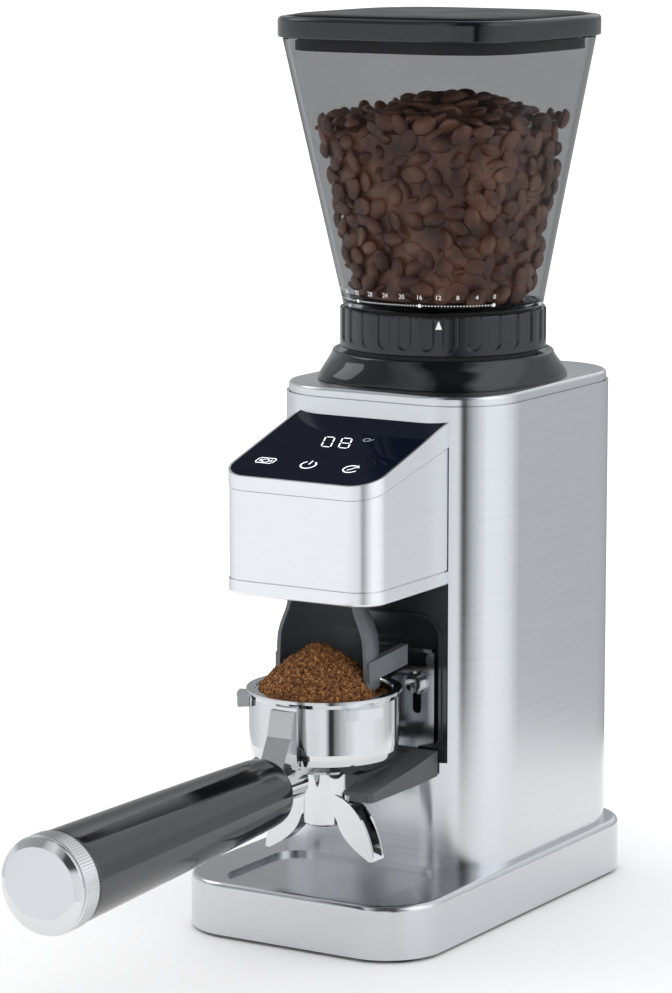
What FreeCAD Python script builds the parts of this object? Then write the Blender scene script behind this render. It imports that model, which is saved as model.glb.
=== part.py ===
import FreeCAD, Part
import os, math
from FreeCAD import Vector as V

os.makedirs("parts", exist_ok=True)

# ---------------------------------------------------------------- dimensions
# overall: base
BASE_W, BASE_D, BASE_R, BASE_TOP = 124.3, 213.7, 27.4, 25.4
SHEET = 1.5
PAN_X, PAN_Y0, PAN_Y1, PAN_R, PAN_DEPTH = 41.0, -100.5, -39.0, 13.0, 1.8
# column
COL_W, COL_D, COL_R, COL_CY = 115.4, 140.7, 31.75, 33.67
COL_TOP, CAP_TOP = 233.2, 237.6
# head
HEAD_X, HEAD_Y0, HEAD_Y1, HEAD_R = 38.8, -101.0, -30.0, 13.0
HEAD_BOT, SEAM_LOW = 154.0, 160.3
SEAM_F, SEAM_B = 200.3, 215.8
PANEL_F, PANEL_B = 206.4, 226.9
# recess panel
REC_X, REC_Z0, REC_Y = 38.3, 73.6, -34.0
POC_X, POC_Z0, POC_Z1, POC_R, POC_Y = 34.6, 77.5, 138.8, 10.0, -28.0
# grinding axis
GX, GY = 0.0, 27.9
RING_R, RING_Z0, RING_Z1 = 46.84, 251.5, 269.8
# hopper
HOP_Z0, HOP_Z1, LID_TOP = 270.0, 391.6, 402.4
# portafilter
PF_Y, RIM_Z, CUP_R, RIM_R, CUP_BOT = -75.2, 111.8, 33.0, 34.2, 77.4
FORK_TOP, FORK_BOT = 79.4, 68.1


# ---------------------------------------------------------------- helpers
def save(name, shape):
    shape.exportStep("parts/" + name + ".step")


def cyl(r, z0, z1, cx=0.0, cy=0.0):
    return Part.makeCylinder(r, z1 - z0, V(cx, cy, z0))


def tube(ro, ri, z0, z1, cx=0.0, cy=0.0):
    return cyl(ro, z0, z1, cx, cy).cut(cyl(ri, z0 - 1, z1 + 1, cx, cy))


def cyl_dir(r, p, q):
    d = q - p
    return Part.makeCylinder(r, d.Length, p, d)


def box(x0, x1, y0, y1, z0, z1):
    return Part.makeBox(x1 - x0, y1 - y0, z1 - z0, V(x0, y0, z0))


def rwire(w, d, r, cx=0.0, cy=0.0, z=0.0):
    x, y, k = w / 2.0, d / 2.0, r * math.sqrt(0.5)
    e = []
    cor = [(x - r, y - r, 0), (-x + r, y - r, 90), (-x + r, -y + r, 180), (x - r, -y + r, 270)]
    pts = []
    for (ax, ay, a) in cor:
        p = []
        for t in (a, a + 45, a + 90):
            t = math.radians(t)
            p.append(V(cx + ax + r * math.cos(t), cy + ay + r * math.sin(t), z))
        pts.append(p)
    for i in range(4):
        e.append(Part.Arc(*pts[i]).toShape())
        n = pts[(i + 1) % 4][0]
        if (n - pts[i][2]).Length > 1e-6:
            e.append(Part.LineSegment(pts[i][2], n).toShape())
    return Part.Wire(e)


def rbox(w, d, r, z0, z1, cx=0.0, cy=0.0):
    return Part.Face(rwire(w, d, r, cx, cy, z0)).extrude(V(0, 0, z1 - z0))


def poly(pts):
    return Part.Face(Part.makePolygon([V(*p) for p in pts] + [V(*pts[0])]))


def revolve(prof, cx=0.0, cy=0.0):
    f = poly([(cx + r, cy, z) for r, z in prof])
    return f.revolve(V(cx, cy, 0), V(0, 0, 1), 360)


def fillet_at(s, r, test):
    ed = [e for e in s.Edges if test(e)]
    if not ed:
        return s
    return s.makeFillet(r, ed)


def at_z(z, tol=1e-3):
    return lambda e: abs(e.BoundBox.ZMin - z) < tol and abs(e.BoundBox.ZMax - z) < tol


def sector(r, z0, z1, a0, a1, cx, cy):
    s = Part.makeCylinder(r, z1 - z0, V(cx, cy, z0), V(0, 0, 1), a1 - a0)
    s.rotate(V(cx, cy, 0), V(0, 0, 1), a0)
    return s


def squircle(a, b, n, cx, cy, z, m=32):
    """closed smooth curve |x/a|^n + |y/b|^n = 1"""
    pts = []
    for i in range(m):
        t = 2 * math.pi * (i + 0.5) / m
        c, s = math.cos(t), math.sin(t)
        r = (abs(c / a) ** n + abs(s / b) ** n) ** (-1.0 / n)
        pts.append(V(cx + r * c, cy + r * s, z))
    bs = Part.BSplineCurve()
    bs.interpolate(pts, PeriodicFlag=True)
    return Part.Wire([bs.toShape()])


def group(items):
    return Part.makeCompound(items)


def mirror_x(s):
    return s.mirror(V(0, 0, 0), V(1, 0, 0))


# ================================================================ BASE
base = rbox(BASE_W, BASE_D, BASE_R, 1.6, BASE_TOP)
base = fillet_at(base, 2.6, at_z(BASE_TOP))
inner = rbox(BASE_W - 2 * SHEET, BASE_D - 2 * SHEET, BASE_R - SHEET, 0.0, BASE_TOP - SHEET)
base = base.cut(inner)
pw, pd, pcy = 2 * PAN_X, PAN_Y1 - PAN_Y0, (PAN_Y0 + PAN_Y1) / 2
base = base.fuse(rbox(pw + 3, pd + 3, PAN_R + 1.5, BASE_TOP - PAN_DEPTH - 1.4, BASE_TOP - 0.6, 0, pcy))
base = base.cut(rbox(pw, pd, PAN_R, BASE_TOP - PAN_DEPTH, BASE_TOP + 1, 0, pcy)).removeSplitter()
# opening under the column for wiring and ribs
base = base.cut(rbox(92, 114, 10, BASE_TOP - 4, BASE_TOP + 1, 0, 41))
save("base_shell", base)

plate = rbox(BASE_W - 2 * SHEET - 0.4, BASE_D - 2 * SHEET - 0.4, BASE_R - SHEET - 0.2, 2.0, 4.5)
for (x, y) in [(47, -90), (-47, -90), (47, 90), (-47, 90)]:
    plate = plate.cut(cyl(3.0, 0, 6, x, y))
for i in range(6):
    plate = plate.cut(box(-22, 22, 30 + i * 8, 33 + i * 8, 0, 6))
save("base_plate", plate)

feet, fscrew = [], []
for (x, y) in [(47, -90), (-47, -90), (47, 90), (-47, 90)]:
    f = cyl(8.5, 0.0, 2.0, x, y).fuse(cyl(2.95, 2.0, 7.0, x, y))
    feet.append(f)
feet.append(cyl(8.5, 0.0, 2.0, 0, 0))               # anti-slip pad under the middle of the plate
save("rubber_feet", group(feet))

# internal steel uprights that carry the drive on the base
pillars = []
for (x, y) in [(38, -4), (-38, -4), (38, 88), (-38, 88)]:
    pillars.append(box(x - 4, x + 4, y - 4, y + 4, 4.5, 150.0).cut(cyl(1.6, 140, 151, x, y)))
save("drive_pillars", group(pillars))

# ================================================================ COLUMN
col_out = rbox(COL_W, COL_D, COL_R, BASE_TOP, COL_TOP, 0, COL_CY)
col_in = rbox(COL_W - 2.4, COL_D - 2.4, COL_R - 1.2, BASE_TOP - 1, COL_TOP + 1, 0, COL_CY)
col = col_out.cut(col_in)
col = col.cut(box(-REC_X - 0.5, REC_X + 0.5, -60, -20, REC_Z0, 216.0))
vents = []
for i in range(7):
    vents.append(box(-24, 24, 95, 110, 46 + i * 6.5, 48.6 + i * 6.5))
for v in vents:
    col = col.cut(v)
col = col.cut(Part.makeCylinder(6.1, 20, V(0, 92, 34), V(0, 1, 0)))
save("column_shell", col)

gland = Part.makeCylinder(8.5, 2.0, V(0, COL_CY + COL_D / 2 + 0.0, 34), V(0, 1, 0))
gland = gland.fuse(Part.makeCylinder(6.0, 5.0, V(0, COL_CY + COL_D / 2 - 4.5, 34), V(0, 1, 0)))
gland = gland.cut(Part.makeCylinder(3.4, 30, V(0, 85, 34), V(0, 1, 0)))
save("cable_gland", gland)

cap = rbox(COL_W - 2, COL_D - 2, COL_R - 1, COL_TOP, CAP_TOP, 0, COL_CY)
cap = fillet_at(cap, 1.6, at_z(CAP_TOP))
cap = cap.cut(rbox(COL_W + 6, COL_D + 6, COL_R + 3, COL_TOP - 1, COL_TOP + 0.4, 0, COL_CY).cut(rbox(COL_W - 3.6, COL_D - 3.6, COL_R - 1.8, COL_TOP - 2, COL_TOP + 2, 0, COL_CY)))
cap = cap.cut(cyl(43.0, COL_TOP - 1, CAP_TOP + 1, GX, GY))
lip = rbox(COL_W - 2.8, COL_D - 2.8, COL_R - 1.4, COL_TOP - 5, COL_TOP, 0, COL_CY)
lip = lip.cut(rbox(COL_W - 6.0, COL_D - 6.0, COL_R - 3.0, COL_TOP - 6, COL_TOP + 1, 0, COL_CY))
cap = cap.fuse(lip)
save("column_cap", cap)

col_solid = rbox(COL_W + 0.02, COL_D + 0.02, COL_R, 0, 260, 0, COL_CY)

# ================================================================ RECESS PANEL AND HOLDER BRACKET
rec = box(-REC_X, REC_X, REC_Y, REC_Y + 2.4, REC_Z0, HEAD_BOT + 4)
pocket_out = Part.Face(rwire(2 * POC_X + 4, POC_Z1 - POC_Z0 + 4, POC_R + 2, 0, 0, 0)).extrude(V(0, 0, REC_Y + 2.4 - POC_Y + 2 - 2.4 + 6))
pocket_in = Part.Face(rwire(2 * POC_X, POC_Z1 - POC_Z0, POC_R, 0, 0, 0)).extrude(V(0, 0, 60))


def stand(s, y):
    s = s.copy()
    s.rotate(V(0, 0, 0), V(1, 0, 0), 90)          # local z -> -Y, local y -> Z
    s.translate(V(0, y, (POC_Z0 + POC_Z1) / 2))
    return s


po = stand(Part.Face(rwire(2 * POC_X + 4, POC_Z1 - POC_Z0 + 4, POC_R + 2)).extrude(V(0, 0, 8.0)), POC_Y + 2)
pi_ = stand(Part.Face(rwire(2 * POC_X, POC_Z1 - POC_Z0, POC_R)).extrude(V(0, 0, 30)), POC_Y)
rec = rec.fuse(po).cut(pi_)
# the raised bead that frames the pocket
bead = stand(Part.Face(rwire(2 * POC_X + 2.4, POC_Z1 - POC_Z0 + 2.4, POC_R + 1.2)).extrude(V(0, 0, 0.9)), REC_Y)
rec = rec.fuse(bead.cut(pi_))
rec = rec.cut(box(-5, 5, POC_Y - 1, POC_Y + 3, 142, 150))
save("recess_panel", rec)

BR_X, BR_Y = 32.3, -34.9
br = box(-BR_X, BR_X, BR_Y, BR_Y + 1.8, 75.5, 124.8)
br = br.cut(box(-BR_X + 4, BR_X - 4, BR_Y - 1, BR_Y + 3, 116.2, 122.6))
for s in (-1, 1):
    sl = box(s * 23.6 - 2.2, s * 23.6 + 2.2, BR_Y - 2, BR_Y + 4, 97.0, 108.8)
    sl = sl.fuse(Part.makeCylinder(2.2, 6, V(s * 23.6, BR_Y - 2, 97.0), V(0, 1, 0)))
    sl = sl.fuse(Part.makeCylinder(2.2, 6, V(s * 23.6, BR_Y - 2, 108.8), V(0, 1, 0)))
    br = br.cut(sl)
br = br.fuse(box(-BR_X, BR_X, BR_Y - 2.2, BR_Y, 123.2, 124.8))
# side returns down to the pocket floor and the curled lower lip that carries the fork
br = br.fuse(box(-BR_X, -BR_X + 1.8, BR_Y + 1.8, POC_Y, 80, 120)).fuse(box(BR_X - 1.8, BR_X, BR_Y + 1.8, POC_Y, 80, 120))
br = br.fuse(box(-BR_X, BR_X, BR_Y - 1.9, BR_Y + 1.8, 74.2, 75.5))
br = br.common(stand(Part.Face(rwire(2 * POC_X - 0.8, POC_Z1 - POC_Z0 - 0.8, POC_R - 0.4)).extrude(V(0, 0, 30)), POC_Y)).removeSplitter()
save("holder_bracket", br)

screws = []
for s in (-1, 1):
    h = Part.makeCylinder(3.9, 3.0, V(s * 23.6, BR_Y - 3.0 - 0.8, 108.8), V(0, 1, 0))
    h = h.fuse(Part.makeCylinder(5.2, 0.8, V(s * 23.6, BR_Y - 0.8, 108.8), V(0, 1, 0)))
    h = h.fuse(Part.makeCylinder(2.1, 7.0 - 0.2, V(s * 23.6, BR_Y, 108.8), V(0, 1, 0)))
    hexa = [V(s * 23.6 + 2.0 * math.cos(math.radians(60 * k)), BR_Y - 5, 108.8 + 2.0 * math.sin(math.radians(60 * k))) for k in range(7)]
    h = h.cut(Part.Face(Part.makePolygon(hexa)).extrude(V(0, 3.2, 0)))
    screws.append(h)
save("bracket_screws", group(screws))

# lower fork: two arms that thin toward the front, ledges under the cup and a rear web
FX0, FX1, FR = 22.9, 37.0, -37.2


def arm(s):
    pts = [(s * 26.0, FR, FORK_BOT), (s * 26.0, -96.5, FORK_BOT), (s * 35.4, -96.5, FORK_BOT), (s * FX1, -94.6, FORK_BOT),
           (s * FX1, -60.0, FORK_BOT), (s * 36.2, -46.0, FORK_BOT), (s * 35.6, FR, FORK_BOT)]
    a = poly(pts).extrude(V(0, 0, FORK_TOP - FORK_BOT))
    a = a.fuse(box(min(s * FX0, s * 26.5), max(s * FX0, s * 26.5), -96.5, FR, FORK_BOT + 2.2, FORK_TOP))
    top = poly([(-60, -20.0, 81.7), (-60, -110.0, 70.53), (-60, -110.0, 95.0), (-60, -20.0, 95.0)]).extrude(V(120, 0, 0))
    a = a.cut(top)
    a = a.fuse(box(min(s * 18.0, s * 25.0), max(s * 18.0, s * 25.0), -87.0, -60.0, 70.6, CUP_BOT - 0.1))
    return a.cut(cyl(33.6, CUP_BOT - 0.1, 95, 0, PF_Y)).cut(box(-33.6, 33.6, -140, PF_Y, CUP_BOT - 0.1, 95))


fork = arm(1).fuse(arm(-1)).fuse(box(-26.0, 26.0, -42.0, FR, FORK_BOT, CUP_BOT - 0.1))
fork = fork.fuse(box(-30.0, 30.0, FR, BR_Y + 1.0, 78.2 - 4.3, 78.2))
fork = fork.cut(box(-60, 60, FR, -20, 60, REC_Z0))
fork = fork.cut(rec).cut(br).removeSplitter()
save("holder_fork", fork)

# ================================================================ HEAD
def head_solid(inset, z0, zf, zb, yback=-26.0):
    """rounded-front prism from z0 up to the sloping plane zf (front) .. zb (back)"""
    w = 2 * (HEAD_X - inset)
    y0 = HEAD_Y0 + inset
    r = HEAD_R - inset
    s = Part.Face(rwire(w, 120.0, r, 0, y0 + 60.0, z0)).extrude(V(0, 0, 325.0 - z0))
    slope = (zb - zf) / (-33.0 - HEAD_Y0)
    ya, yb = -130.0, 30.0
    za, zb2 = zf + slope * (ya - HEAD_Y0), zf + slope * (yb - HEAD_Y0)
    cutter = poly([(-60, ya, za), (-60, yb, zb2), (-60, yb, 330), (-60, ya, 330)]).extrude(V(120, 0, 0))
    s = s.cut(cutter)
    return s.cut(box(-60, 60, yback, 60, 0, 330))


def clip_col(s):
    return s.cut(col_solid)


T = 1.4
low_o = head_solid(0.0, HEAD_BOT, SEAM_LOW, SEAM_LOW)
low = low_o.cut(head_solid(T, HEAD_BOT + 2.0, 330, 330))
low = fillet_at(low, 1.5, lambda e: abs(e.BoundBox.ZMin - HEAD_BOT) < 1e-3 and abs(e.BoundBox.ZMax - HEAD_BOT) < 1e-3
                and e.BoundBox.YMax < -30)
low = clip_col(low).cut(box(-27.5, 27.5, -94.0, -30, HEAD_BOT - 1, HEAD_BOT + 3))
save("head_lower_trim", low)

mid = head_solid(0.35, SEAM_LOW, SEAM_F, SEAM_B)
mid = mid.cut(head_solid(T + 0.35, SEAM_LOW - 1, 330, 330))
GROOVE = 0.45                                       # shadow line above and below the wrap
g0 = head_solid(-2.0, SEAM_LOW - 1.0, SEAM_LOW + GROOVE, SEAM_LOW + GROOVE).cut(head_solid(1.05, SEAM_LOW - 2, 330, 330))
g1 = head_solid(-2.0, SEAM_LOW + 5, SEAM_F + 2, SEAM_B + 2).cut(head_solid(-3.0, SEAM_LOW, SEAM_F - GROOVE, SEAM_B - GROOVE)).cut(head_solid(1.05, SEAM_LOW - 2, 330, 330))
mid = clip_col(mid.cut(g0).cut(g1))
save("head_wrap", mid)

top = head_solid(0.0, SEAM_F - 5, PANEL_F, PANEL_B)
under = head_solid(-2.0, SEAM_F - 20, SEAM_F, SEAM_B)
top = top.cut(under)
recess = head_solid(1.0, SEAM_F - 20, 330, 330)
deep = head_solid(-5.0, 0.0, PANEL_F - 1.6, PANEL_B - 1.6)
top = top.cut(recess.cut(deep))                      # seat for the glass
top = top.cut(head_solid(4.0, SEAM_F - 20, 330, 330))  # open frame
top = clip_col(top)
save("head_top_frame", top)

glass = head_solid(1.15, 0.0, PANEL_F, PANEL_B).cut(deep)
glass = clip_col(glass)
save("display_glass", glass)

# display and touch board under the glass, tilted with it
SL = math.degrees(math.atan((PANEL_B - PANEL_F) / (-33.0 - HEAD_Y0)))
board = Part.makeBox(64, 52, 1.6, V(-32, 0, 0))
chips = [Part.makeBox(26, 15, 3.2, V(-10, 22, 1.6)), Part.makeBox(9, 9, 0.6, V(-26, 6, -0.6)), Part.makeBox(8, 6, 5, V(18, 8, -5))]
for k in (-22, 0, 22):
    chips.append(Part.makeCylinder(4.0, 3.2, V(k, 9, 1.6)))
for c in chips:
    board = board.fuse(c)
board.rotate(V(0, 0, 0), V(1, 0, 0), SL)
board.translate(V(0, -94.0, PANEL_F + 7.0 * math.tan(math.radians(SL)) - 7.2))
save("display_board", board)

# ================================================================ CHUTE SCOOP
SC_Y = -73.0


def scoop_solid(off, z0=112.2, z1=166.0):
    """half cone open to the front: narrow at the top, wide at the bottom"""
    tab = [(100.0, 23.6), (112.2, 23.5), (122.0, 23.2), (130.0, 22.9), (134.0, 22.5), (138.0, 21.4), (142.0, 19.8), (145.5, 18.3), (149.0, 17.3), (154.0, 17.0), (170.0, 17.0)]

    def w(z):
        for (za, wa), (zb_, wb) in zip(tab, tab[1:]):
            if z <= zb_:
                return wa + (wb - wa) * (z - za) / (zb_ - za)
        return tab[-1][1]
    secs = []
    for z in [z0] + [q for q, _ in tab if z0 + 2 < q < z1 - 2] + [z1]:
        r = w(z) + off
        a = [V(r, -90, z), V(r, SC_Y, z)]
        e = [Part.LineSegment(a[0], a[1]).toShape(),
             Part.Arc(V(r, SC_Y, z), V(0, SC_Y + r, z), V(-r, SC_Y, z)).toShape(),
             Part.LineSegment(V(-r, SC_Y, z), V(-r, -90, z)).toShape(),
             Part.LineSegment(V(-r, -90, z), V(r, -90, z)).toShape()]
        secs.append(Part.Wire(e))
    return Part.makeLoft(secs, True, True)


sc = scoop_solid(0.0).cut(scoop_solid(-1.8, 111.0, 167.0))
sc = sc.cut(box(-40, 40, -120, -77.6, 100, 170))
roof_cut = poly([(-40, -95, 158.0), (-40, -45, 176.0), (-40, -45, 190.0), (-40, -95, 190.0)]).extrude(V(80, 0, 0))
sc = sc.cut(roof_cut)
for s in (-1, 1):
    barp = poly([(s * 20.6, -76.8, 116.2), (s * 20.6, -44.2, 118.9), (s * 20.6, -44.2, 127.9), (s * 20.6, -76.8, 125.0)])
    sc = sc.fuse(barp.extrude(V(s * 3.6, 0, 0)).cut(scoop_solid(-1.8, 111.0, 167.0)))
save("chute_scoop", sc)

# sloping duct from the burr chamber to the scoop
duct_o = poly([(-15, -12.0, 183.0), (-15, -12.0, 203.0), (-15, -66.0, 190.0), (-15, -73.0, 166.2), (-15, -50.0, 166.2)]).extrude(V(30, 0, 0))
duct_i = poly([(-13, -11.0, 185.2), (-13, -11.0, 201.0), (-13, -64.4, 188.2), (-13, -71.0, 165.0), (-13, -51.4, 165.0)]).extrude(V(26, 0, 0))
duct_i2 = box(-13, 13, -14.0, -8.0, 185.2, 201.2)
duct = duct_o.cut(duct_i).cut(duct_i2)
duct = duct.cut(cyl(40.2, 170, 240, GX, GY))
save("exit_duct", duct)

# ================================================================ DRIVE
def gear(n, m, z0, z1, cx, cy, phase, bore, backlash=0.16, add=0.9, ded=1.25):
    rp = n * m / 2.0
    rb = rp * math.cos(math.radians(20))
    ra, rf = rp + add * m, rp - ded * m
    inv = lambda a: math.tan(a) - a
    half = math.pi / (2 * n) - backlash / (2 * rp)
    a0 = inv(math.radians(20))
    pts = []
    rs = [max(rb, rf) + (ra - max(rb, rf)) * k / 4.0 for k in range(5)]
    for i in range(n):
        c = phase + 2 * math.pi * i / n
        left, right = [], []
        for r in rs:
            al = math.acos(min(1.0, rb / r))
            h = half + a0 - inv(al)
            left.append((r, c - h))
            right.append((r, c + h))
        if rb > rf:
            left.insert(0, (rf, left[0][1]))
            right.insert(0, (rf, right[0][1]))
        pts += left + right[::-1]
    f = poly([(cx + r * math.cos(a), cy + r * math.sin(a), z0) for r, a in pts])
    return f.extrude(V(0, 0, z1 - z0)).cut(cyl(bore, z0 - 1, z1 + 1, cx, cy))


MOD, N_W, N_P = 1.5, 42, 18
MY = GY + MOD * (N_W + N_P) / 2.0         # motor axis
SH_R = 4.0
wheel = gear(N_W, MOD, 156.0, 163.0, GX, GY, math.pi / 2, SH_R)
wheel = wheel.fuse(tube(9.0, SH_R, 163.0, 167.0, GX, GY))
for k in range(6):
    a = math.radians(30 + 60 * k)
    wheel = wheel.cut(cyl(5.0, 150, 170, GX + 18.5 * math.cos(a), GY + 18.5 * math.sin(a)))
save("reduction_wheel", wheel)

pinion = gear(N_P, MOD, 155.0, 164.0, GX, MY, -math.pi / 2 + math.pi / N_P, 2.5)
save("motor_pinion", pinion)

spindle = cyl(SH_R, 148.0, 240.0, GX, GY)
save("burr_spindle", spindle)

gb = box(-37, 37, -9, 97, 150.0, 169.0)
gb = gb.cut(box(-34.5, 34.5, -6.5, 94.5, 153.0, 170.0))
gb = gb.fuse(tube(13.5, 11.0, 146.0, 150.0, GX, GY))
gb = gb.cut(cyl(11.0, 145.5, 151.5, GX, GY)).cut(cyl(4.6, 149, 156, GX, GY)).cut(cyl(10.2, 149, 154, GX, MY))
for (x, y) in [(38, -4), (-38, -4), (38, 88), (-38, 88)]:
    gb = gb.fuse(box(x - 4.5, x + 4.5, y - 4.5, y + 4.5, 150.0, 153.0))
gb = gb.cut(box(-34.5, 34.5, -6.5, 94.5, 153.0, 170.0))
for (x, y) in [(38, -4), (-38, -4), (38, 88), (-38, 88)]:
    gb = gb.cut(cyl(1.7, 149, 154, x, y))
save("gearbox_tub", gb.removeSplitter())

gc = box(-37, 37, -9, 97, 169.0, 172.0).cut(cyl(4.6, 168, 173, GX, GY))
save("gearbox_cover", gc)

gs = []
for (x, y) in [(38, -4), (-38, -4), (38, 88), (-38, 88)]:
    gs.append(cyl(3.0, 153.0, 155.2, x * 1.0 + (1.6 if x > 0 else -1.6) * 0, y).fuse(cyl(1.55, 142.0, 153.0, x, y)))
gs = [g.cut(box(-37.05, 37.05, -9.05, 97.05, 153.0, 160.0)) for g in gs]
save("gearbox_screws", group(gs))

lb = tube(10.98, 4.06, 146.0, 151.4, GX, GY)
save("lower_bearing", lb)
ub = tube(10.98, 4.06, 174.0, 180.0, GX, GY)
save("upper_bearing", ub)

# motor
motor = cyl(28.0, 62.0, 148.0, GX, MY).cut(cyl(25.5, 64.0, 146.0, GX, MY))
motor = motor.cut(cyl(2.56, 140, 149, GX, MY))
for k in range(4):
    a = math.radians(45 + 90 * k)
    motor = motor.cut(cyl(3.4, 60, 66, GX + 17 * math.cos(a), MY + 17 * math.sin(a)))
motor = motor.fuse(tube(10.0, 2.56, 148.0, 150.6, GX, MY))
save("motor_can", motor)

magnets = []
for k in range(2):
    m = tube(25.3, 21.3, 72.0, 132.0, GX, MY)
    w = sector(40, 60, 140, -55 + 180 * k, 55 + 180 * k, GX, MY)
    magnets.append(m.common(w))
save("motor_magnets", group(magnets))

arm_ = cyl(2.5, 66.0, 164.0, GX, MY).fuse(cyl(8.0, 134.0, 143.0, GX, MY))
core = cyl(20.6, 74.0, 130.0, GX, MY)
for k in range(7):
    a = math.radians(360.0 / 7 * k)
    s = box(10.5, 22, -1.2, 1.2, 70, 134).fuse(Part.makeCylinder(3.2, 64, V(14, 0, 70)))
    s.rotate(V(0, 0, 0), V(0, 0, 1), math.degrees(a))
    s.translate(V(GX, MY, 0))
    core = core.cut(s)
arm_ = arm_.fuse(core)
save("motor_armature", arm_)

strap = tube(30.2, 28.1, 66.0, 80.0, GX, MY)
strap = strap.fuse(box(-42, -29.2, MY - 2, MY + 2, 66, 80)).fuse(box(29.2, 42, MY - 2, MY + 2, 66, 80))
strap = strap.fuse(box(-42, -34.2, MY - 2, 84.0, 66, 80)).fuse(box(34.2, 42, MY - 2, 84.0, 66, 80))
strap = strap.cut(box(-60, 60, 100.5, 130, 60, 90)).cut(cyl(28.1, 60, 90, GX, MY))
save("motor_strap", strap)

# ================================================================ BURR CHAMBER AND BURRS
ch = cyl(40.0, 180.0, 236.0, GX, GY).cut(cyl(36.4, 184.0, 237.0, GX, GY))
ch = ch.fuse(cyl(15.0, 172.0, 181.0, GX, GY)).cut(cyl(11.0, 173.9, 180.1, GX, GY)).cut(cyl(4.7, 170, 190, GX, GY))
ch = ch.cut(box(-12.9, 12.9, -20, 5, 185.3, 201.0))
for k in range(3):
    a = math.radians(30 + 120 * k)
    foot = cyl(4.5, 172.0, 186.0, GX + 30 * math.cos(a), GY + 30 * math.sin(a))
    ch = ch.fuse(foot.cut(cyl(36.4, 184.0, 237.0, GX, GY)))
save("burr_chamber", ch)

imp = cyl(33.5, 186.5, 189.5, GX, GY).fuse(cyl(10.0, 186.5, 203.0, GX, GY))
for k in range(4):
    b = box(8, 33.5, -1.5, 1.5, 189.5, 200.0)
    b.rotate(V(0, 0, 0), V(0, 0, 1), 90 * k + 20)
    b.translate(V(GX, GY, 0))
    imp = imp.fuse(b)
imp = imp.cut(cyl(SH_R, 180, 210, GX, GY))
save("sweeper_disc", imp)

cone = revolve([(SH_R, 203.0), (19.5, 203.0), (19.5, 206.0), (9.0, 236.0), (SH_R, 236.0)], GX, GY)
for k in range(6):
    g = Part.makeCone(2.2, 3.4, 44, V(19.6, 0, 202), V(-10.0, 0, 33).normalize())
    g.rotate(V(0, 0, 0), V(0, 0, 1), 60 * k)
    g.translate(V(GX, GY, 0))
    cone = cone.cut(g)
for k in range(24):
    g = box(18.3, 22, -0.6, 0.6, 202, 211)
    g.rotate(V(18.3, 0, 202), V(0, 1, 0), -18)
    g.rotate(V(0, 0, 0), V(0, 0, 1), 15 * k)
    g.translate(V(GX, GY, 0))
    cone = cone.cut(g)
save("inner_burr", cone)

nut = Part.Face(Part.makePolygon([V(GX + 7.5 * math.cos(math.radians(60 * k)), GY + 7.5 * math.sin(math.radians(60 * k)), 236.0) for k in range(7)])).extrude(V(0, 0, 5.0))
nut = nut.cut(cyl(SH_R, 230, 240.0, GX, GY))
save("burr_nut", nut)

ob = revolve([(20.4, 204.5), (29.0, 204.5), (29.0, 228.0), (25.5, 228.0), (20.4, 209.0)], GX, GY)
for k in range(24):
    g = box(18.0, 22.6, -0.7, 0.7, 203, 230)
    g.rotate(V(20.4, 0, 209), V(0, 1, 0), 14)
    g.rotate(V(0, 0, 0), V(0, 0, 1), 15 * k)
    g.translate(V(GX, GY, 0))
    ob = ob.cut(g)
save("outer_burr", ob)

carrier = cyl(35.6, 203.5, 262.5, GX, GY).cut(cyl(29.0, 203.0, 228.0, GX, GY)).cut(cyl(26.5, 227.5, 230.0, GX, GY))
carrier = carrier.cut(revolve([(0.0, 229.9), (26.5, 229.9), (33.0, 250.0), (33.0, 263.0), (0.0, 263.0)], GX, GY))
carrier = carrier.cut(cyl(12.0, 203, 232, GX, GY))
PEG_A = (0.0, 180.0)
for a in PEG_A:
    g = box(31.0 + 2.2, 37, -2.8, 2.8, 252.0, 263.0)
    g.rotate(V(0, 0, 0), V(0, 0, 1), a)
    g.translate(V(GX, GY, 0))
    carrier = carrier.cut(g)
save("burr_carrier", carrier)

cs = []
for k in range(3):
    a = math.radians(90 + 120 * k)
    x, y = GX + 32.2 * math.cos(a), GY + 32.2 * math.sin(a)
    cs.append(cyl(1.6, 200.9, 203.4, x, y))
# fixed hopper socket around the carrier, with windows for the ring pegs
R_LO, R_HI = -74.2, 31.8
sock = tube(42.4, 40.2, 237.0, 270.9, GX, GY)
sock = sock.fuse(tube(42.4, 37.4, 236.0, 238.4, GX, GY))
for a in PEG_A:
    w = sector(44, 253.8, 262.2, a + R_LO - 6.5, a + R_HI + 6.5, GX, GY)
    sock = sock.cut(w)
save("hopper_socket", sock)

# ================================================================ COLLAR AND GRIND RING
col_prof_b, col_prof_t = 54.6, 49.7
cw = []
for (z, a_, b_, n_) in ((CAP_TOP, 51.6, 54.4, 2.8), (239.0, 51.6, 54.3, 2.75), (243.0, 51.3, 52.8, 2.4), (246.4, 50.9, 51.4, 2.1), (248.6, 50.6, 50.6, 2.0)):
    cw.append(squircle(a_, b_, n_, GX, GY, z))
collar = Part.makeLoft(cw, True, False)
collar = collar.fuse(cyl(50.4, 248.4, 250.4, GX, GY))
collar = collar.cut(cyl(42.5, 230, 260, GX, GY))
save("collar_ring", collar)

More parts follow.
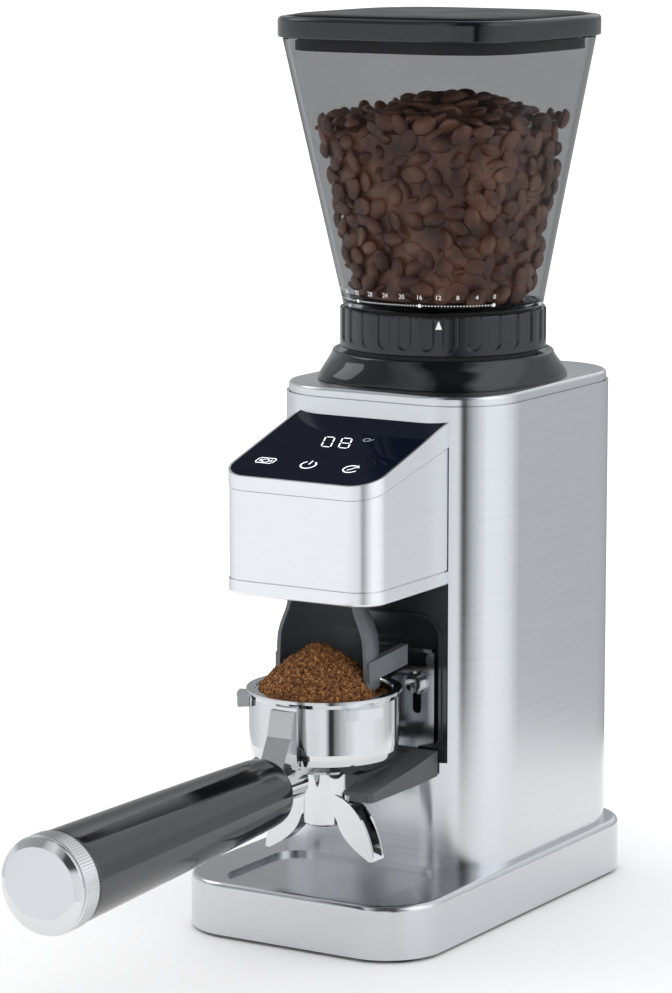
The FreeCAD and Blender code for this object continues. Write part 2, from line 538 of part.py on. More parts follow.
ring = revolve([(42.9, RING_Z0), (RING_R, RING_Z0), (RING_R, RING_Z1 - 0.9), (RING_R - 0.9, RING_Z1), (42.9, RING_Z1)], GX, GY)
N_FL = 28
for k in range(N_FL):
    a = 27.5 - 90.0 + 360.0 / N_FL * (k + 0.5)
    f = Part.makeCylinder(4.3, 20, V(RING_R + 3.1, 0, RING_Z0 + 3.0), V(0, 0, 1))
    f.rotate(V(0, 0, 0), V(0, 0, 1), a)
    f.translate(V(GX, GY, 0))
    ring = ring.cut(f)
for a in PEG_A:
    p = Part.makeCylinder(2.4, 8.4, V(35.2, 0, 258.0), V(1, 0, 0))
    p.rotate(V(0, 0, 0), V(0, 0, 1), a)
    p.translate(V(GX, GY, 0))
    ring = ring.fuse(p)
save("grind_ring", ring)

pa = math.radians(27.5)
ptr = Part.Face(Part.makePolygon([V(-1.5, 0, 264.2), V(1.5, 0, 264.2), V(0, 0, 268.0), V(-1.5, 0, 264.2)])).extrude(V(0, 0.35, 0))
ptr.translate(V(0, -RING_R - 0.33, 0))
ptr.rotate(V(0, 0, 0), V(0, 0, 1), 27.5)
ptr.translate(V(GX, GY, 0))
ptr = ptr.cut(cyl(RING_R, 250, 275, GX, GY))
save("ring_pointer", ptr)

# ================================================================ HOPPER
LID_CY, LID_A, LID_N = 24.3, 62.0, 4.2


def reach(z):
    """half width of the hopper across its 31.5 degree diagonal"""
    return 45.4 + 0.2105 * (z - HOP_Z0)


def hop_sec(z, off):
    t = (z - HOP_Z0) / (HOP_Z1 - HOP_Z0)
    n = 2.0 + 2.2 * (1.0 - (1.0 - min(1.0, max(0.0, t))) ** 1.7)
    q = n / (n - 1.0)
    c, d = math.cos(math.radians(31.5)), math.sin(math.radians(31.5))
    a = reach(z) / (c ** q + d ** q) ** (1.0 / q) - off
    return squircle(a, a, n, GX, GY + (LID_CY - GY) * t, z)


def hopper_solid(off, z0=None, z1=None):
    z0 = HOP_Z0 if z0 is None else z0
    z1 = HOP_Z1 if z1 is None else z1
    zs = [z0 + (z1 - z0) * k / 6.0 for k in range(7)]
    return Part.makeLoft([hop_sec(z, off) for z in zs], True, False)


hop = hopper_solid(0.0).cut(hopper_solid(2.4, HOP_Z0 + 2.4, HOP_Z1 + 0.01))
hop = hop.cut(cyl(37.0, HOP_Z0 - 1, HOP_Z0 + 4, GX, GY))
hop = hop.fuse(tube(39.9, 37.0, 263.0, HOP_Z0 + 1.2, GX, GY))
hop = hop.cut(tube(42.7, 39.9, 260.0, 271.2, GX, GY))
save("hopper_shell", hop)

def lsec(off, z):
    return squircle(LID_A - off, LID_A - off, LID_N, 0, LID_CY, z)


lid = Part.makeLoft([lsec(0.3, HOP_Z1), lsec(0.0, HOP_Z1 + 0.7), lsec(0.0, 399.4), lsec(0.5, 400.4), lsec(1.6, 400.9), lsec(4.4, 401.0), lsec(7.0, 402.0), lsec(16.0, LID_TOP)], True, True)
lid = lid.cut(Part.makeLoft([lsec(3.0, HOP_Z1 - 1), lsec(3.0, 397.6)], True, True))
save("hopper_lid", lid)

seal = Part.makeLoft([lsec(6.6, 386.0), lsec(6.6, 397.6)], True, True)
seal = seal.cut(Part.makeLoft([lsec(8.6, 385.0), lsec(8.6, 398.0)], True, True))
save("lid_seal", seal)

beans = hopper_solid(4.0, HOP_Z0 + 3.0, HOP_Z1)
beans = beans.cut(box(-80, 80, -60, 120, 358.0, 420))


def dome_sec(f, z):
    t = (358.0 - HOP_Z0) / (HOP_Z1 - HOP_Z0)
    return squircle(f, f, 3.2, GX, GY + (LID_CY - GY) * t, z)


beans = beans.fuse(Part.makeLoft([dome_sec(50.0, 357.5), dome_sec(50.0, 358.0), dome_sec(46.0, 361.5), dome_sec(38.0, 364.6), dome_sec(25.0, 367.6), dome_sec(8.0, 369.4)], True, True))
beans = beans.fuse(cyl(36.6, 264.0, HOP_Z0 + 4.0, GX, GY))
save("coffee_beans", beans)

# ================================================================ PORTAFILTER
cup = revolve([(0, CUP_BOT), (22.0, CUP_BOT), (26.4, 78.2), (29.6, 80.0), (31.9, 82.8), (32.8, 85.6), (33.0, 88.0), (33.0, 108.6), (33.9, 110.4), (33.9, 111.0),
               (31.6, 111.0), (31.6, 87.6), (30.9, 84.9), (29.0, 82.4), (26.4, 80.9), (22.0, 80.2), (0, 80.2)], 0, PF_Y)
for a in (90.0, 210.0, 330.0):
    lug = sector(38.4, 104.2, 108.8, -13, 13, 0, 0).cut(cyl(32.5, 100, 112))
    lug.rotate(V(0, 0, 0), V(0, 0, 1), a)
    lug.translate(V(0, PF_Y, 0))
    cup = cup.fuse(lug)
# hub under the cup, drain hole, neck and gusset to the handle
hub = cyl(10.2, 66.0, CUP_BOT, 0, PF_Y)
cup = cup.fuse(hub)
NZ = 75.0
neck = Part.makeCone(8.6, 7.2, 20.2, V(0, -102.0, NZ + 0.6), V(0, -1, -0.025))
cup = cup.fuse(neck.cut(cyl(31.0, 81.0, 112, 0, PF_Y)))
gus = poly([(-6.0, -104.0, 76.0), (-6.0, -104.0, 108.0), (-6.0, -109.6, 107.0), (-6.0, -112.5, 96.0), (-6.0, -121.0, 80.0), (-6.0, -121.0, 76.0)]).extrude(V(12.0, 0, 0))
cup = cup.fuse(gus.cut(cyl(31.6, 70, 112, 0, PF_Y)))
cup = cup.cut(cyl(4.0, 60, 90, 0, PF_Y))
cup = cup.removeSplitter()
save("portafilter_cup", cup)

bas = revolve([(29.0, 111.0), (34.2, 111.0), (34.2, 111.8), (30.4, 111.8), (29.9, 111.2), (27.6, 87.4), (0, 87.4), (0, 86.6), (28.2, 86.6)], 0, PF_Y)
save("filter_basket", bas)

wire = Part.makeTorus(30.9, 0.55, V(0, PF_Y, 101.5))
wire = wire.cut(box(-6, 6, PF_Y + 20, PF_Y + 40, 95, 110))
save("basket_spring", wire)

# double spout: round hub with two open channels that curl out to the sides
sp = cyl(9.2, 50.5, 66.0, 0, PF_Y)
sp = fillet_at(sp, 1.2, at_z(50.5))


def curve_face(up, dn, y):
    """closed face between two smooth curves in the plane at y"""
    c1, c2 = Part.BSplineCurve(), Part.BSplineCurve()
    c1.interpolate([V(x, y, z) for x, z in up])
    c2.interpolate([V(x, y, z) for x, z in dn])
    a0, a1, b0, b1 = V(up[0][0], y, up[0][1]), V(up[-1][0], y, up[-1][1]), V(dn[0][0], y, dn[0][1]), V(dn[-1][0], y, dn[-1][1])
    return Part.Face(Part.Wire([c1.toShape(), Part.LineSegment(a1, b1).toShape(), c2.toShape(), Part.LineSegment(b0, a0).toShape()]))


def spout_side(s):
    outer = [(3.0, 65.4), (8.0, 64.9), (13.5, 62.8), (18.8, 58.6), (23.2, 52.4), (26.3, 45.0), (27.9, 37.2)]
    inner = [(3.0, 55.0), (8.3, 54.6), (10.6, 49.8), (14.2, 45.0), (19.0, 41.0), (25.9, 36.8)]
    f = curve_face([(s * x, z) for x, z in outer], [(s * x, z) for x, z in inner], PF_Y - 4.6).extrude(V(0, 9.2, 0))
    floor = [(7.0, 60.0), (11.0, 57.4), (14.6, 51.8), (18.6, 47.2), (23.0, 43.2), (27.4, 38.6), (30.0, 35.4)]
    over = [(7.0, 68.0), (14.0, 66.5), (21.0, 61.5), (27.0, 54.0), (31.0, 44.0), (33.0, 35.0)]
    g = curve_face([(s * x, z) for x, z in over], [(s * x, z) for x, z in floor], PF_Y - 3.2).extrude(V(0, 6.4, 0))
    return f.cut(g)


sp = sp.fuse(spout_side(1)).fuse(spout_side(-1))
sp = sp.cut(cyl(4.0, 57.0, 70, 0, PF_Y)).removeSplitter()
save("double_spout", sp)

# handle on a slightly drooping axis
HA = V(0, -1, -0.0253).normalize()
H0 = V(0, -122.6, 74.3)


def hpt(t):
    return H0 + HA * t


def hrev(prof):
    """revolve (t, r) profile about the handle axis"""
    pts = [V(r, t, 0) for t, r in prof]
    f = Part.Face(Part.makePolygon(pts + [pts[0]]))
    s = f.revolve(V(0, 0, 0), V(0, 1, 0), 360)
    rot = FreeCAD.Rotation(V(0, 1, 0), HA)
    s.Placement = FreeCAD.Placement(H0, rot)
    return s


grip = hrev([(0, 7.4), (0, 13.6), (1.6, 15.0), (60, 17.2), (150.0, 19.9), (153.9, 19.9), (153.9, 5.2), (12.0, 5.2), (12.0, 7.4)])
save("handle_grip", grip)
knurl = hrev([(153.9, 12.0), (153.9, 20.2), (154.6, 20.6), (162.4, 20.6), (163.2, 20.2), (163.2, 12.0)])
save("handle_knurl_ring", knurl)
hcap = hrev([(163.2, 0.01), (163.2, 20.0), (164.4, 20.0), (167.2, 18.6), (167.2, 0.01)])
hcap = hcap.fuse(hrev([(153.9, 0.01), (153.9, 11.9), (163.2, 11.9), (163.2, 0.01)]))
save("handle_end_cap", hcap)
stud = hrev([(-2.0, 0.01), (-2.0, 6.2), (11.8, 6.2), (11.8, 5.0), (140.0, 5.0), (140.0, 0.01)])
stud = stud.cut(cup)
save("handle_stud", stud)

# ground coffee: bed in the basket and the cone under the scoop
bed = revolve([(0, 87.5), (27.4, 87.5), (29.2, 107.2), (0, 107.2)], 0, PF_Y)
heap = Part.makeCone(22.5, 4.0, 24.6, V(0, -77.0, 107.2))
heap_f = Part.makeCone(28.0, 4.0, 24.6, V(0, -79.0, 107.2)).common(box(-40, 40, -130, -78.4, 100, 140))
heap = heap.fuse(heap_f)
keep = scoop_solid(-2.6, 100.0, 167.0).fuse(box(-40, 40, -130, -78.4, 100, 140)).fuse(box(-40, 40, -130, -30, 100, 110.8))
heap = heap.common(keep)
inb = Part.makeCone(29.2, 29.75, 4.0, V(0, PF_Y, 107.2)).fuse(cyl(33, 111.2, 140, 0, PF_Y))
heap = heap.common(inb)
grounds = bed.fuse(heap).removeSplitter()
save("ground_coffee", grounds)

# ================================================================ ELECTRONICS
pb = box(-50.0, -48.4, 18.0, 88.0, 60.0, 136.0)
for (y, z, w, h, t) in [(34, 76, 16, 22, 9.5), (58, 80, 20, 18, 8.0), (78, 74, 12, 12, 7.0), (36, 108, 10, 10, 6.0), (62, 110, 22, 14, 5.0)]:
    pb = pb.fuse(box(-48.4, -48.4 + t * 0.9, y - w / 2, y + w / 2, z - h / 2, z + h / 2))
save("power_board", pb)

pc = []
for (y, z) in [(23, 64), (84, 64), (23, 132), (84, 132)]:
    pc.append(Part.makeCylinder(2.6, 5.9, V(-55.95, y, z), V(1, 0, 0)))
save("board_standoffs", group([p.cut(rbox(COL_W + 40, COL_D + 40, 5, 0, 300, 0, COL_CY).cut(col_in)) for p in pc]))

sens = box(-12, 12, 71.5, 81.5, 226.0, 227.6).fuse(box(-3, 3, 73.5, 79.5, 227.6, 230.6))
sens = sens.fuse(cyl(1.8, 172.0, 226.0, -9.0, 76.5)).fuse(cyl(1.8, 172.0, 226.0, 9.0, 76.5))
save("hopper_sensor", sens)

print("done")
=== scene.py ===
import bpy, math, random
import numpy as np
from mathutils import Vector, Matrix


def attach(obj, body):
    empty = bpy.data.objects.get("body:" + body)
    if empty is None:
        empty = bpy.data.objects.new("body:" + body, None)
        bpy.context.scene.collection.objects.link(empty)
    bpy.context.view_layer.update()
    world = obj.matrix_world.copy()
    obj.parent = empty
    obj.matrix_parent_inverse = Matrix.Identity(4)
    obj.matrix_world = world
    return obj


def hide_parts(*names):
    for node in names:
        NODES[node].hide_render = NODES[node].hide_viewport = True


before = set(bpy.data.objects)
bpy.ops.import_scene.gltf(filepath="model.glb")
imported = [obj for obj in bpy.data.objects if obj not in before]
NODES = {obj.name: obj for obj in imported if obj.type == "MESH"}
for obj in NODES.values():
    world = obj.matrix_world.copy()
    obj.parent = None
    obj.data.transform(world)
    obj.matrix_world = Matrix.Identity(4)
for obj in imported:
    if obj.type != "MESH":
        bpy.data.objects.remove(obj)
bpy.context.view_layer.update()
MM = 0.001
GX, GY = 0.0, 27.9
rad = math.radians
RNG = np.random.default_rng(7)


# ------------------------------------------------------------------ camera
cam_d = bpy.data.cameras.new("camera")
cam = bpy.data.objects.new("camera", cam_d)
bpy.context.scene.collection.objects.link(cam)
cam_d.sensor_fit = 'AUTO'
cam_d.sensor_width = 36.0
cam_d.lens = 36.0 * 3894.6 / 993.0
cam.location = (0.87769, -1.49749, 0.47474)
cam.rotation_euler = Vector((-0.51541, 0.84103, -0.16439)).to_track_quat('-Z', 'Y').to_euler()
bpy.context.scene.camera = cam
bpy.context.scene.view_settings.view_transform = 'Standard'
bpy.context.scene.view_settings.look = 'None'


# ------------------------------------------------------------------ materials
def new_mat(name):
    m = bpy.data.materials.new(name)
    m.use_nodes = True
    nt = m.node_tree
    b = nt.nodes["Principled BSDF"]
    return m, nt, b


def noise(nt, stretch, scale, detail=2.0, rough=0.5, kind='NOISE'):
    tc = nt.nodes.new("ShaderNodeTexCoord")
    mp = nt.nodes.new("ShaderNodeMapping")
    mp.inputs["Scale"].default_value = stretch
    nt.links.new(tc.outputs["Object"], mp.inputs["Vector"])
    if kind == 'NOISE':
        n = nt.nodes.new("ShaderNodeTexNoise")
        n.inputs["Detail"].default_value = detail
        n.inputs["Roughness"].default_value = rough
        out = n.outputs["Fac"]
    else:
        n = nt.nodes.new("ShaderNodeTexVoronoi")
        out = n.outputs["Distance"]
    n.inputs["Scale"].default_value = scale
    nt.links.new(mp.outputs["Vector"], n.inputs["Vector"])
    return out


def ramp(nt, fac, stops):
    r = nt.nodes.new("ShaderNodeValToRGB")
    el = r.color_ramp.elements
    while len(el) < len(stops):
        el.new(0.5)
    for e, (p, c) in zip(el, stops):
        e.position = p
        e.color = (c[0], c[1], c[2], 1.0) if not isinstance(c, float) else (c, c, c, 1.0)
    nt.links.new(fac, r.inputs["Fac"])
    return r.outputs["Color"]


def bump(nt, b, height, strength, dist, prev=None):
    n = nt.nodes.new("ShaderNodeBump")
    n.inputs["Strength"].default_value = strength
    n.inputs["Distance"].default_value = dist
    nt.links.new(height, n.inputs["Height"])
    if prev is not None:
        nt.links.new(prev, n.inputs["Normal"])
    nt.links.new(n.outputs["Normal"], b.inputs["Normal"])
    return n.outputs["Normal"]


def mix_col(nt, fac, a, b_):
    m = nt.nodes.new("ShaderNodeMix")
    m.data_type = 'RGBA'
    nt.links.new(fac, m.inputs["Factor"])
    nt.links.new(a, m.inputs[6])
    nt.links.new(b_, m.inputs[7])
    return m.outputs[2]


def brushed(name, lines, base=(0.70, 0.715, 0.735), rough=0.2, aniso=0.8, arot=0.25, fine=1.0):
    """brushed steel: lines is the stretch of the hairlines"""
    m, nt, b = new_mat(name)
    b.inputs["Metallic"].default_value = 1.0
    h = noise(nt, lines, fine, 3.0, 0.6)
    broad = noise(nt, (1, 1, 1), 14.0, 2.0)
    c1 = ramp(nt, h, [(0.25, tuple(x * 0.965 for x in base)), (0.75, tuple(min(1, x * 1.03) for x in base))])
    nt.links.new(c1, b.inputs["Base Color"])
    r1 = ramp(nt, h, [(0.2, rough - 0.03), (0.8, rough + 0.04)])
    nt.links.new(r1, b.inputs["Roughness"])
    n1 = bump(nt, b, broad, 0.012, 0.0006)
    bump(nt, b, h, 0.035, 0.00005, n1)
    b.inputs["Anisotropic"].default_value = aniso
    b.inputs["Anisotropic Rotation"].default_value = arot
    t = nt.nodes.new("ShaderNodeTangent")
    t.direction_type = 'RADIAL'
    t.axis = 'Z'
    nt.links.new(t.outputs["Tangent"], b.inputs["Tangent"])
    return m


def polished(name, base=(0.80, 0.80, 0.81), rough=0.06):
    m, nt, b = new_mat(name)
    b.inputs["Metallic"].default_value = 1.0
    h = noise(nt, (1, 1, 1), 60.0, 3.0)
    c = ramp(nt, h, [(0.3, tuple(x * 0.97 for x in base)), (0.7, base)])
    nt.links.new(c, b.inputs["Base Color"])
    r = ramp(nt, h, [(0.3, rough), (0.8, rough + 0.05)])
    nt.links.new(r, b.inputs["Roughness"])
    w = noise(nt, (1, 1, 1), 25.0, 1.0)
    bump(nt, b, w, 0.04, 0.0008)
    return m


def plastic(name, base, rough=0.4, var=0.12, grain=900.0, bstr=0.08, coat=0.0, spec=0.5):
    m, nt, b = new_mat(name)
    n = noise(nt, (1, 1, 1), 35.0, 3.0)
    c = ramp(nt, n, [(0.3, tuple(x * (1 - var) for x in base)), (0.7, tuple(min(1.0, x * (1 + var)) for x in base))])
    nt.links.new(c, b.inputs["Base Color"])
    r = ramp(nt, n, [(0.3, max(0.0, rough - 0.03)), (0.7, rough + 0.04)])
    nt.links.new(r, b.inputs["Roughness"])
    g = noise(nt, (1, 1, 1), grain, 2.0)
    bump(nt, b, g, bstr, 0.0001)
    b.inputs["Coat Weight"].default_value = coat
    b.inputs["Coat Roughness"].default_value = 0.03
    b.inputs["Specular IOR Level"].default_value = spec
    return m


M = {}
# hairlines run round the column and head; on flat tops they run along X
M['steel_wrap'] = brushed("steel_wrap", (14, 14, 2600))
M['steel_base'] = brushed("steel_base", (14, 14, 2600), base=(0.64, 0.65, 0.675), rough=0.19)
M['steel_head'] = brushed("steel_head", (14, 14, 2600), base=(0.86, 0.87, 0.885), rough=0.33, aniso=0.3)
M['steel_plate'] = brushed("steel_plate", (1500, 25, 25), base=(0.50, 0.51, 0.53), rough=0.16, aniso=0.3, arot=0.0)
M['zinc'] = polished("zinc_plate", (0.55, 0.56, 0.57), 0.3)
M['chrome'] = polished("chrome", (0.70, 0.71, 0.72), 0.045)
M['polished_steel'] = polished("polished_steel", (0.62, 0.63, 0.64), 0.12)
M['burr'] = brushed("burr_steel", (300, 300, 1500), base=(0.42, 0.43, 0.45), rough=0.3)
M['black_matte'] = plastic("black_matte", (0.022, 0.023, 0.026), 0.42, bstr=0.12)
M['grey_plastic'] = plastic("grey_plastic", (0.060, 0.062, 0.068), 0.45, bstr=0.12)
M['arm_grey'] = plastic("arm_grey", (0.115, 0.12, 0.13), 0.5, bstr=0.1)
M['gloss_black'] = plastic("gloss_black", (0.003, 0.004, 0.006), 0.07, bstr=0.01, grain=300, spec=0.6)
M['grip_black'] = plastic("grip_black", (0.006, 0.0075, 0.009), 0.1, bstr=0.01, grain=300, spec=1.0)
M['ring_black'] = plastic("ring_black", (0.010, 0.012, 0.015), 0.16, bstr=0.01, grain=400, spec=0.5)
M['lid_black'] = plastic("lid_black", (0.004, 0.005, 0.006), 0.18, bstr=0.01, grain=400, spec=0.008)
M['black_glass'] = plastic("black_glass", (0.004, 0.006, 0.014), 0.035, var=0.05, bstr=0.004, grain=120, spec=0.02)
M['recess_grey'] = plastic("recess_grey", (0.020, 0.023, 0.027), 0.2, bstr=0.02, spec=1.0)
M['scoop_grey'] = plastic("scoop_grey", (0.085, 0.092, 0.102), 0.36, bstr=0.06, spec=0.8)
M['rubber'] = plastic("rubber", (0.02, 0.02, 0.02), 0.8, bstr=0.3)
M['seal'] = plastic("seal", (0.09, 0.09, 0.095), 0.65, bstr=0.15)
M['nylon'] = plastic("nylon", (0.74, 0.72, 0.64), 0.5)
M['alloy'] = plastic("cast_alloy", (0.5, 0.51, 0.52), 0.5, bstr=0.4, grain=500)
M['alloy'].node_tree.nodes["Principled BSDF"].inputs["Metallic"].default_value = 1.0
M['magnet'] = plastic("magnet", (0.05, 0.05, 0.055), 0.6, bstr=0.3)
M['copper'] = plastic("windings", (0.42, 0.18, 0.09), 0.4, bstr=0.5, grain=700)
M['copper'].node_tree.nodes["Principled BSDF"].inputs["Metallic"].default_value = 0.8
M['board'] = plastic("circuit_board", (0.02, 0.13, 0.06), 0.35, var=0.3, bstr=0.2)
M['print'] = plastic("white_print", (0.80, 0.80, 0.80), 0.45, var=0.03)


def emissive(name, col, strength):
    m, nt, b = new_mat(name)
    n = noise(nt, (1, 1, 1), 400.0, 1.0)
    c = ramp(nt, n, [(0.2, tuple(x * 0.92 for x in col)), (0.8, col)])
    nt.links.new(c, b.inputs["Base Color"])
    nt.links.new(c, b.inputs["Emission Color"])
    b.inputs["Emission Strength"].default_value = strength
    b.inputs["Roughness"].default_value = 0.5
    return m


M['led'] = emissive("display_light", (0.85, 0.92, 1.0), 0.9)
M['led_dim'] = emissive("display_dim", (0.35, 0.42, 0.48), 0.25)


def smoked():
    m, nt, b = new_mat("smoked_clear")
    n = noise(nt, (1, 1, 1), 12.0, 2.0)
    c = ramp(nt, n, [(0.3, (0.438, 0.440, 0.443)), (0.7, (0.455, 0.457, 0.46))])
    nt.links.new(c, b.inputs["Base Color"])
    r = ramp(nt, n, [(0.3, 0.0), (0.7, 0.02)])
    nt.links.new(r, b.inputs["Roughness"])
    b.inputs["Transmission Weight"].default_value = 1.0
    b.inputs["IOR"].default_value = 1.12
    w = noise(nt, (1, 1, 1), 18.0, 1.0)
    bump(nt, b, w, 0.02, 0.001)
    return m


M['smoked'] = smoked()


def bean_mat():
    m, nt, b = new_mat("roasted_bean")
    big = noise(nt, (1, 1, 1), 85.0, 2.0)
    fine = noise(nt, (1, 1, 1), 900.0, 4.0, 0.7)
    c1 = ramp(nt, big, [(0.25, (0.12, 0.036, 0.022)), (0.45, (0.33, 0.12, 0.075)), (0.58, (0.60, 0.26, 0.165)), (0.78, (0.9, 0.52, 0.33))])
    c2 = ramp(nt, big, [(0.3, (0.11, 0.038, 0.024)), (0.8, (0.38, 0.15, 0.09))])
    nt.links.new(mix_col(nt, fine, c1, c2), b.inputs["Base Color"])
    r = ramp(nt, fine, [(0.3, 0.26), (0.8, 0.46)])
    nt.links.new(r, b.inputs["Roughness"])
    bump(nt, b, fine, 0.25, 0.0005)
    b.inputs["Coat Weight"].default_value = 1.0
    b.inputs["Coat Roughness"].default_value = 0.12
    b.inputs["Specular IOR Level"].default_value = 0.9
    return m


M['bean'] = bean_mat()


def grounds_mat():
    m, nt, b = new_mat("ground_coffee")
    n = noise(nt, (1, 1, 1), 620.0, 3.0, 0.75)
    v = noise(nt, (1, 1, 1), 600.0, kind='VORONOI')
    c = ramp(nt, n, [(0.34, (0.035, 0.012, 0.004)), (0.46, (0.17, 0.062, 0.017)), (0.56, (0.30, 0.125, 0.036)), (0.68, (0.62, 0.31, 0.10))])
    nt.links.new(c, b.inputs["Base Color"])
    b.inputs["Roughness"].default_value = 0.9
    r = ramp(nt, n, [(0.3, 0.8), (0.8, 0.95)])
    nt.links.new(r, b.inputs["Roughness"])
    n1 = bump(nt, b, v, 0.8, 0.0009)
    bump(nt, b, n, 0.6, 0.0008, n1)
    return m


M['grounds'] = grounds_mat()

ASSIGN = {
    'base_shell': 'steel_base', 'base_plate': 'black_matte', 'rubber_feet': 'rubber', 'drive_pillars': 'zinc',
    'column_shell': 'steel_wrap', 'cable_gland': 'black_matte', 'column_cap': 'steel_wrap', 'recess_panel': 'recess_grey',
    'holder_bracket': 'steel_plate', 'bracket_screws': 'chrome', 'holder_fork': 'grey_plastic',
    'head_lower_trim': 'steel_head', 'head_wrap': 'steel_head', 'head_top_frame': 'steel_head', 'display_glass': 'black_glass',
    'display_board': 'board', 'chute_scoop': 'scoop_grey', 'exit_duct': 'grey_plastic', 'reduction_wheel': 'nylon',
    'motor_pinion': 'zinc', 'burr_spindle': 'zinc', 'gearbox_tub': 'alloy', 'gearbox_cover': 'alloy', 'gearbox_screws': 'zinc',
    'lower_bearing': 'polished_steel', 'upper_bearing': 'polished_steel', 'motor_can': 'zinc', 'motor_magnets': 'magnet',
    'motor_armature': 'copper', 'motor_strap': 'zinc', 'burr_chamber': 'grey_plastic', 'sweeper_disc': 'grey_plastic',
    'inner_burr': 'burr', 'burr_nut': 'zinc', 'outer_burr': 'burr', 'burr_carrier': 'grey_plastic', 'hopper_socket': 'grey_plastic',
    'collar_ring': 'gloss_black', 'grind_ring': 'ring_black', 'ring_pointer': 'print', 'hopper_shell': 'smoked',
    'hopper_lid': 'gloss_black', 'lid_seal': 'seal', 'coffee_beans': 'bean', 'portafilter_cup': 'chrome', 'filter_basket': 'polished_steel',
    'basket_spring': 'polished_steel', 'double_spout': 'chrome', 'handle_grip': 'gloss_black', 'handle_knurl_ring': 'chrome',
    'handle_end_cap': 'chrome', 'handle_stud': 'polished_steel', 'ground_coffee': 'grounds', 'power_board': 'board',
    'board_standoffs': 'grey_plastic', 'hopper_sensor': 'board'}

for n, ob in NODES.items():
    mat = M[ASSIGN.get(n, 'grey_plastic')]
    if ob.material_slots:
        for s in ob.material_slots:
            s.material = mat
    else:
        ob.data.materials.append(mat)


# ------------------------------------------------------------------ mesh helpers
def make(name, verts, faces, mat, body, replaces=(), sharp=35.0, smooth=True):
    me = bpy.data.meshes.new(name)
    v = np.asarray(verts, float) * MM
    me.from_pydata(v.tolist(), [], [list(map(int, f)) for f in faces])
    me.update()
    me.validate()
    if smooth:
        me.polygons.foreach_set("use_smooth", [True] * len(me.polygons))
        me.set_sharp_from_angle(angle=rad(sharp))
    me.materials.append(M[mat])
    ob = bpy.data.objects.new(name, me)
    bpy.context.scene.collection.objects.link(ob)
    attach(ob, body)
    if replaces:
        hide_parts(*replaces)
    return ob


def loft(loops, closed_ring=False, cap0=False, cap1=False, flip=False):
    """loops: list of (n,3) arrays; returns verts, faces"""
    n = len(loops[0])
    V_ = np.concatenate(loops)
    F = []
    k = len(loops)
    rng = range(k) if closed_ring else range(k - 1)
    for i in rng:
        a, b = i * n, ((i + 1) % k) * n
        for j in range(n):
            j2 = (j + 1) % n
            q = (a + j, a + j2, b + j2, b + j)
            F.append(q[::-1] if flip else q)
    if cap0:
        F.append(tuple(range(n))[::-1] if not flip else tuple(range(n)))
    if cap1:
        t = tuple((k - 1) * n + j for j in range(n))
        F.append(t if not flip else t[::-1])
    return V_, F


def circle(r, z, n=160, cx=GX, cy=GY, a0=0.0):
    t = np.linspace(0, 2 * np.pi, n, endpoint=False) + a0
    return np.stack([cx + r * np.cos(t), cy + r * np.sin(t), np.full(n, z)], 1)


def squircle(a, b, e, z, n=160, cx=0.0, cy=0.0):
    t = np.linspace(0, 2 * np.pi, n, endpoint=False)
    c, s = np.cos(t), np.sin(t)
    r = (np.abs(c / a) ** e + np.abs(s / b) ** e) ** (-1.0 / e)
    return np.stack([cx + r * c, cy + r * s, np.full(n, z)], 1)


# ------------------------------------------------------------------ hopper
HZ0, HZ1, LID_CY, LID_A, LID_N = 270.0, 391.6, 24.3, 62.0, 4.2


def hop_par(z, off):
    t = min(1.0, max(0.0, (z - HZ0) / (HZ1 - HZ0)))
    e = 2.0 + 2.2 * (1.0 - (1.0 - t) ** 1.7)
    q = e / (e - 1.0)
    c, d = math.cos(rad(31.5)), math.sin(rad(31.5))
    a = (45.4 + 0.2105 * (z - HZ0)) / (c ** q + d ** q) ** (1.0 / q) - off
    return a, e, GY + (LID_CY - GY) * t


def hop_loop(z, off, n=160):
    a, e, cy = hop_par(z, off)
    return squircle(a, a, e, z, n, 0.0, cy)


def hopper():
    L = [circle(37.2, 263.2), circle(39.7, 263.2), circle(39.7, 271.0), circle(42.8, 271.0), circle(42.8, 270.25)]
    L.append(hop_loop(270.2, 0.6))
    for z in np.linspace(270.8, 389.4, 26):
        L.append(hop_loop(z, 0.15))
    L.append(hop_loop(391.0, 0.15))
    L.append(hop_loop(391.4, 0.5))
    L.append(hop_loop(391.4, 2.1))
    for z in np.linspace(390.8, 273.6, 26):
        L.append(hop_loop(z, 2.35))
    L.append(hop_loop(272.6, 3.4))
    L.append(circle(37.2, 272.4))
    v, f = loft(L, closed_ring=True)
    return make("hopper_clear", v, f, 'smoked', "hopper", ("hopper_shell",), sharp=40)


hopper()


def lid():
    L = []
    for off, z in [(3.0, 397.4), (3.0, 391.6), (0.9, 391.65), (0.35, 391.8), (0.05, 392.3), (0.05, 399.0), (0.2, 399.8), (0.8, 400.6), (1.7, 400.95), (3.3, 401.05), (3.7, 400.8), (3.75, 400.2), (4.1, 399.9)]:
        L.append(squircle(LID_A - off, LID_A - off, LID_N, z, 160, 0, LID_CY))
    v, f = loft(L, closed_ring=True)
    make("lid_moulding", v, f, 'gloss_black', "lid", ("hopper_lid",), sharp=50)
    L = []
    for off, z in [(3.9, 397.6), (3.9, 400.7), (4.2, 401.0), (6.2, 401.6), (7.4, 401.85), (12.0, 402.1), (24.0, 402.25), (40.0, 402.3), (56.0, 402.33)]:
        L.append(squircle(LID_A - off, LID_A - off, LID_N if off < 30 else 3.0, z, 160, 0, LID_CY))
    v, f = loft(L, cap0=True, cap1=True)
    make("lid_top_panel", v, f, 'lid_black', "lid", sharp=40)


lid()


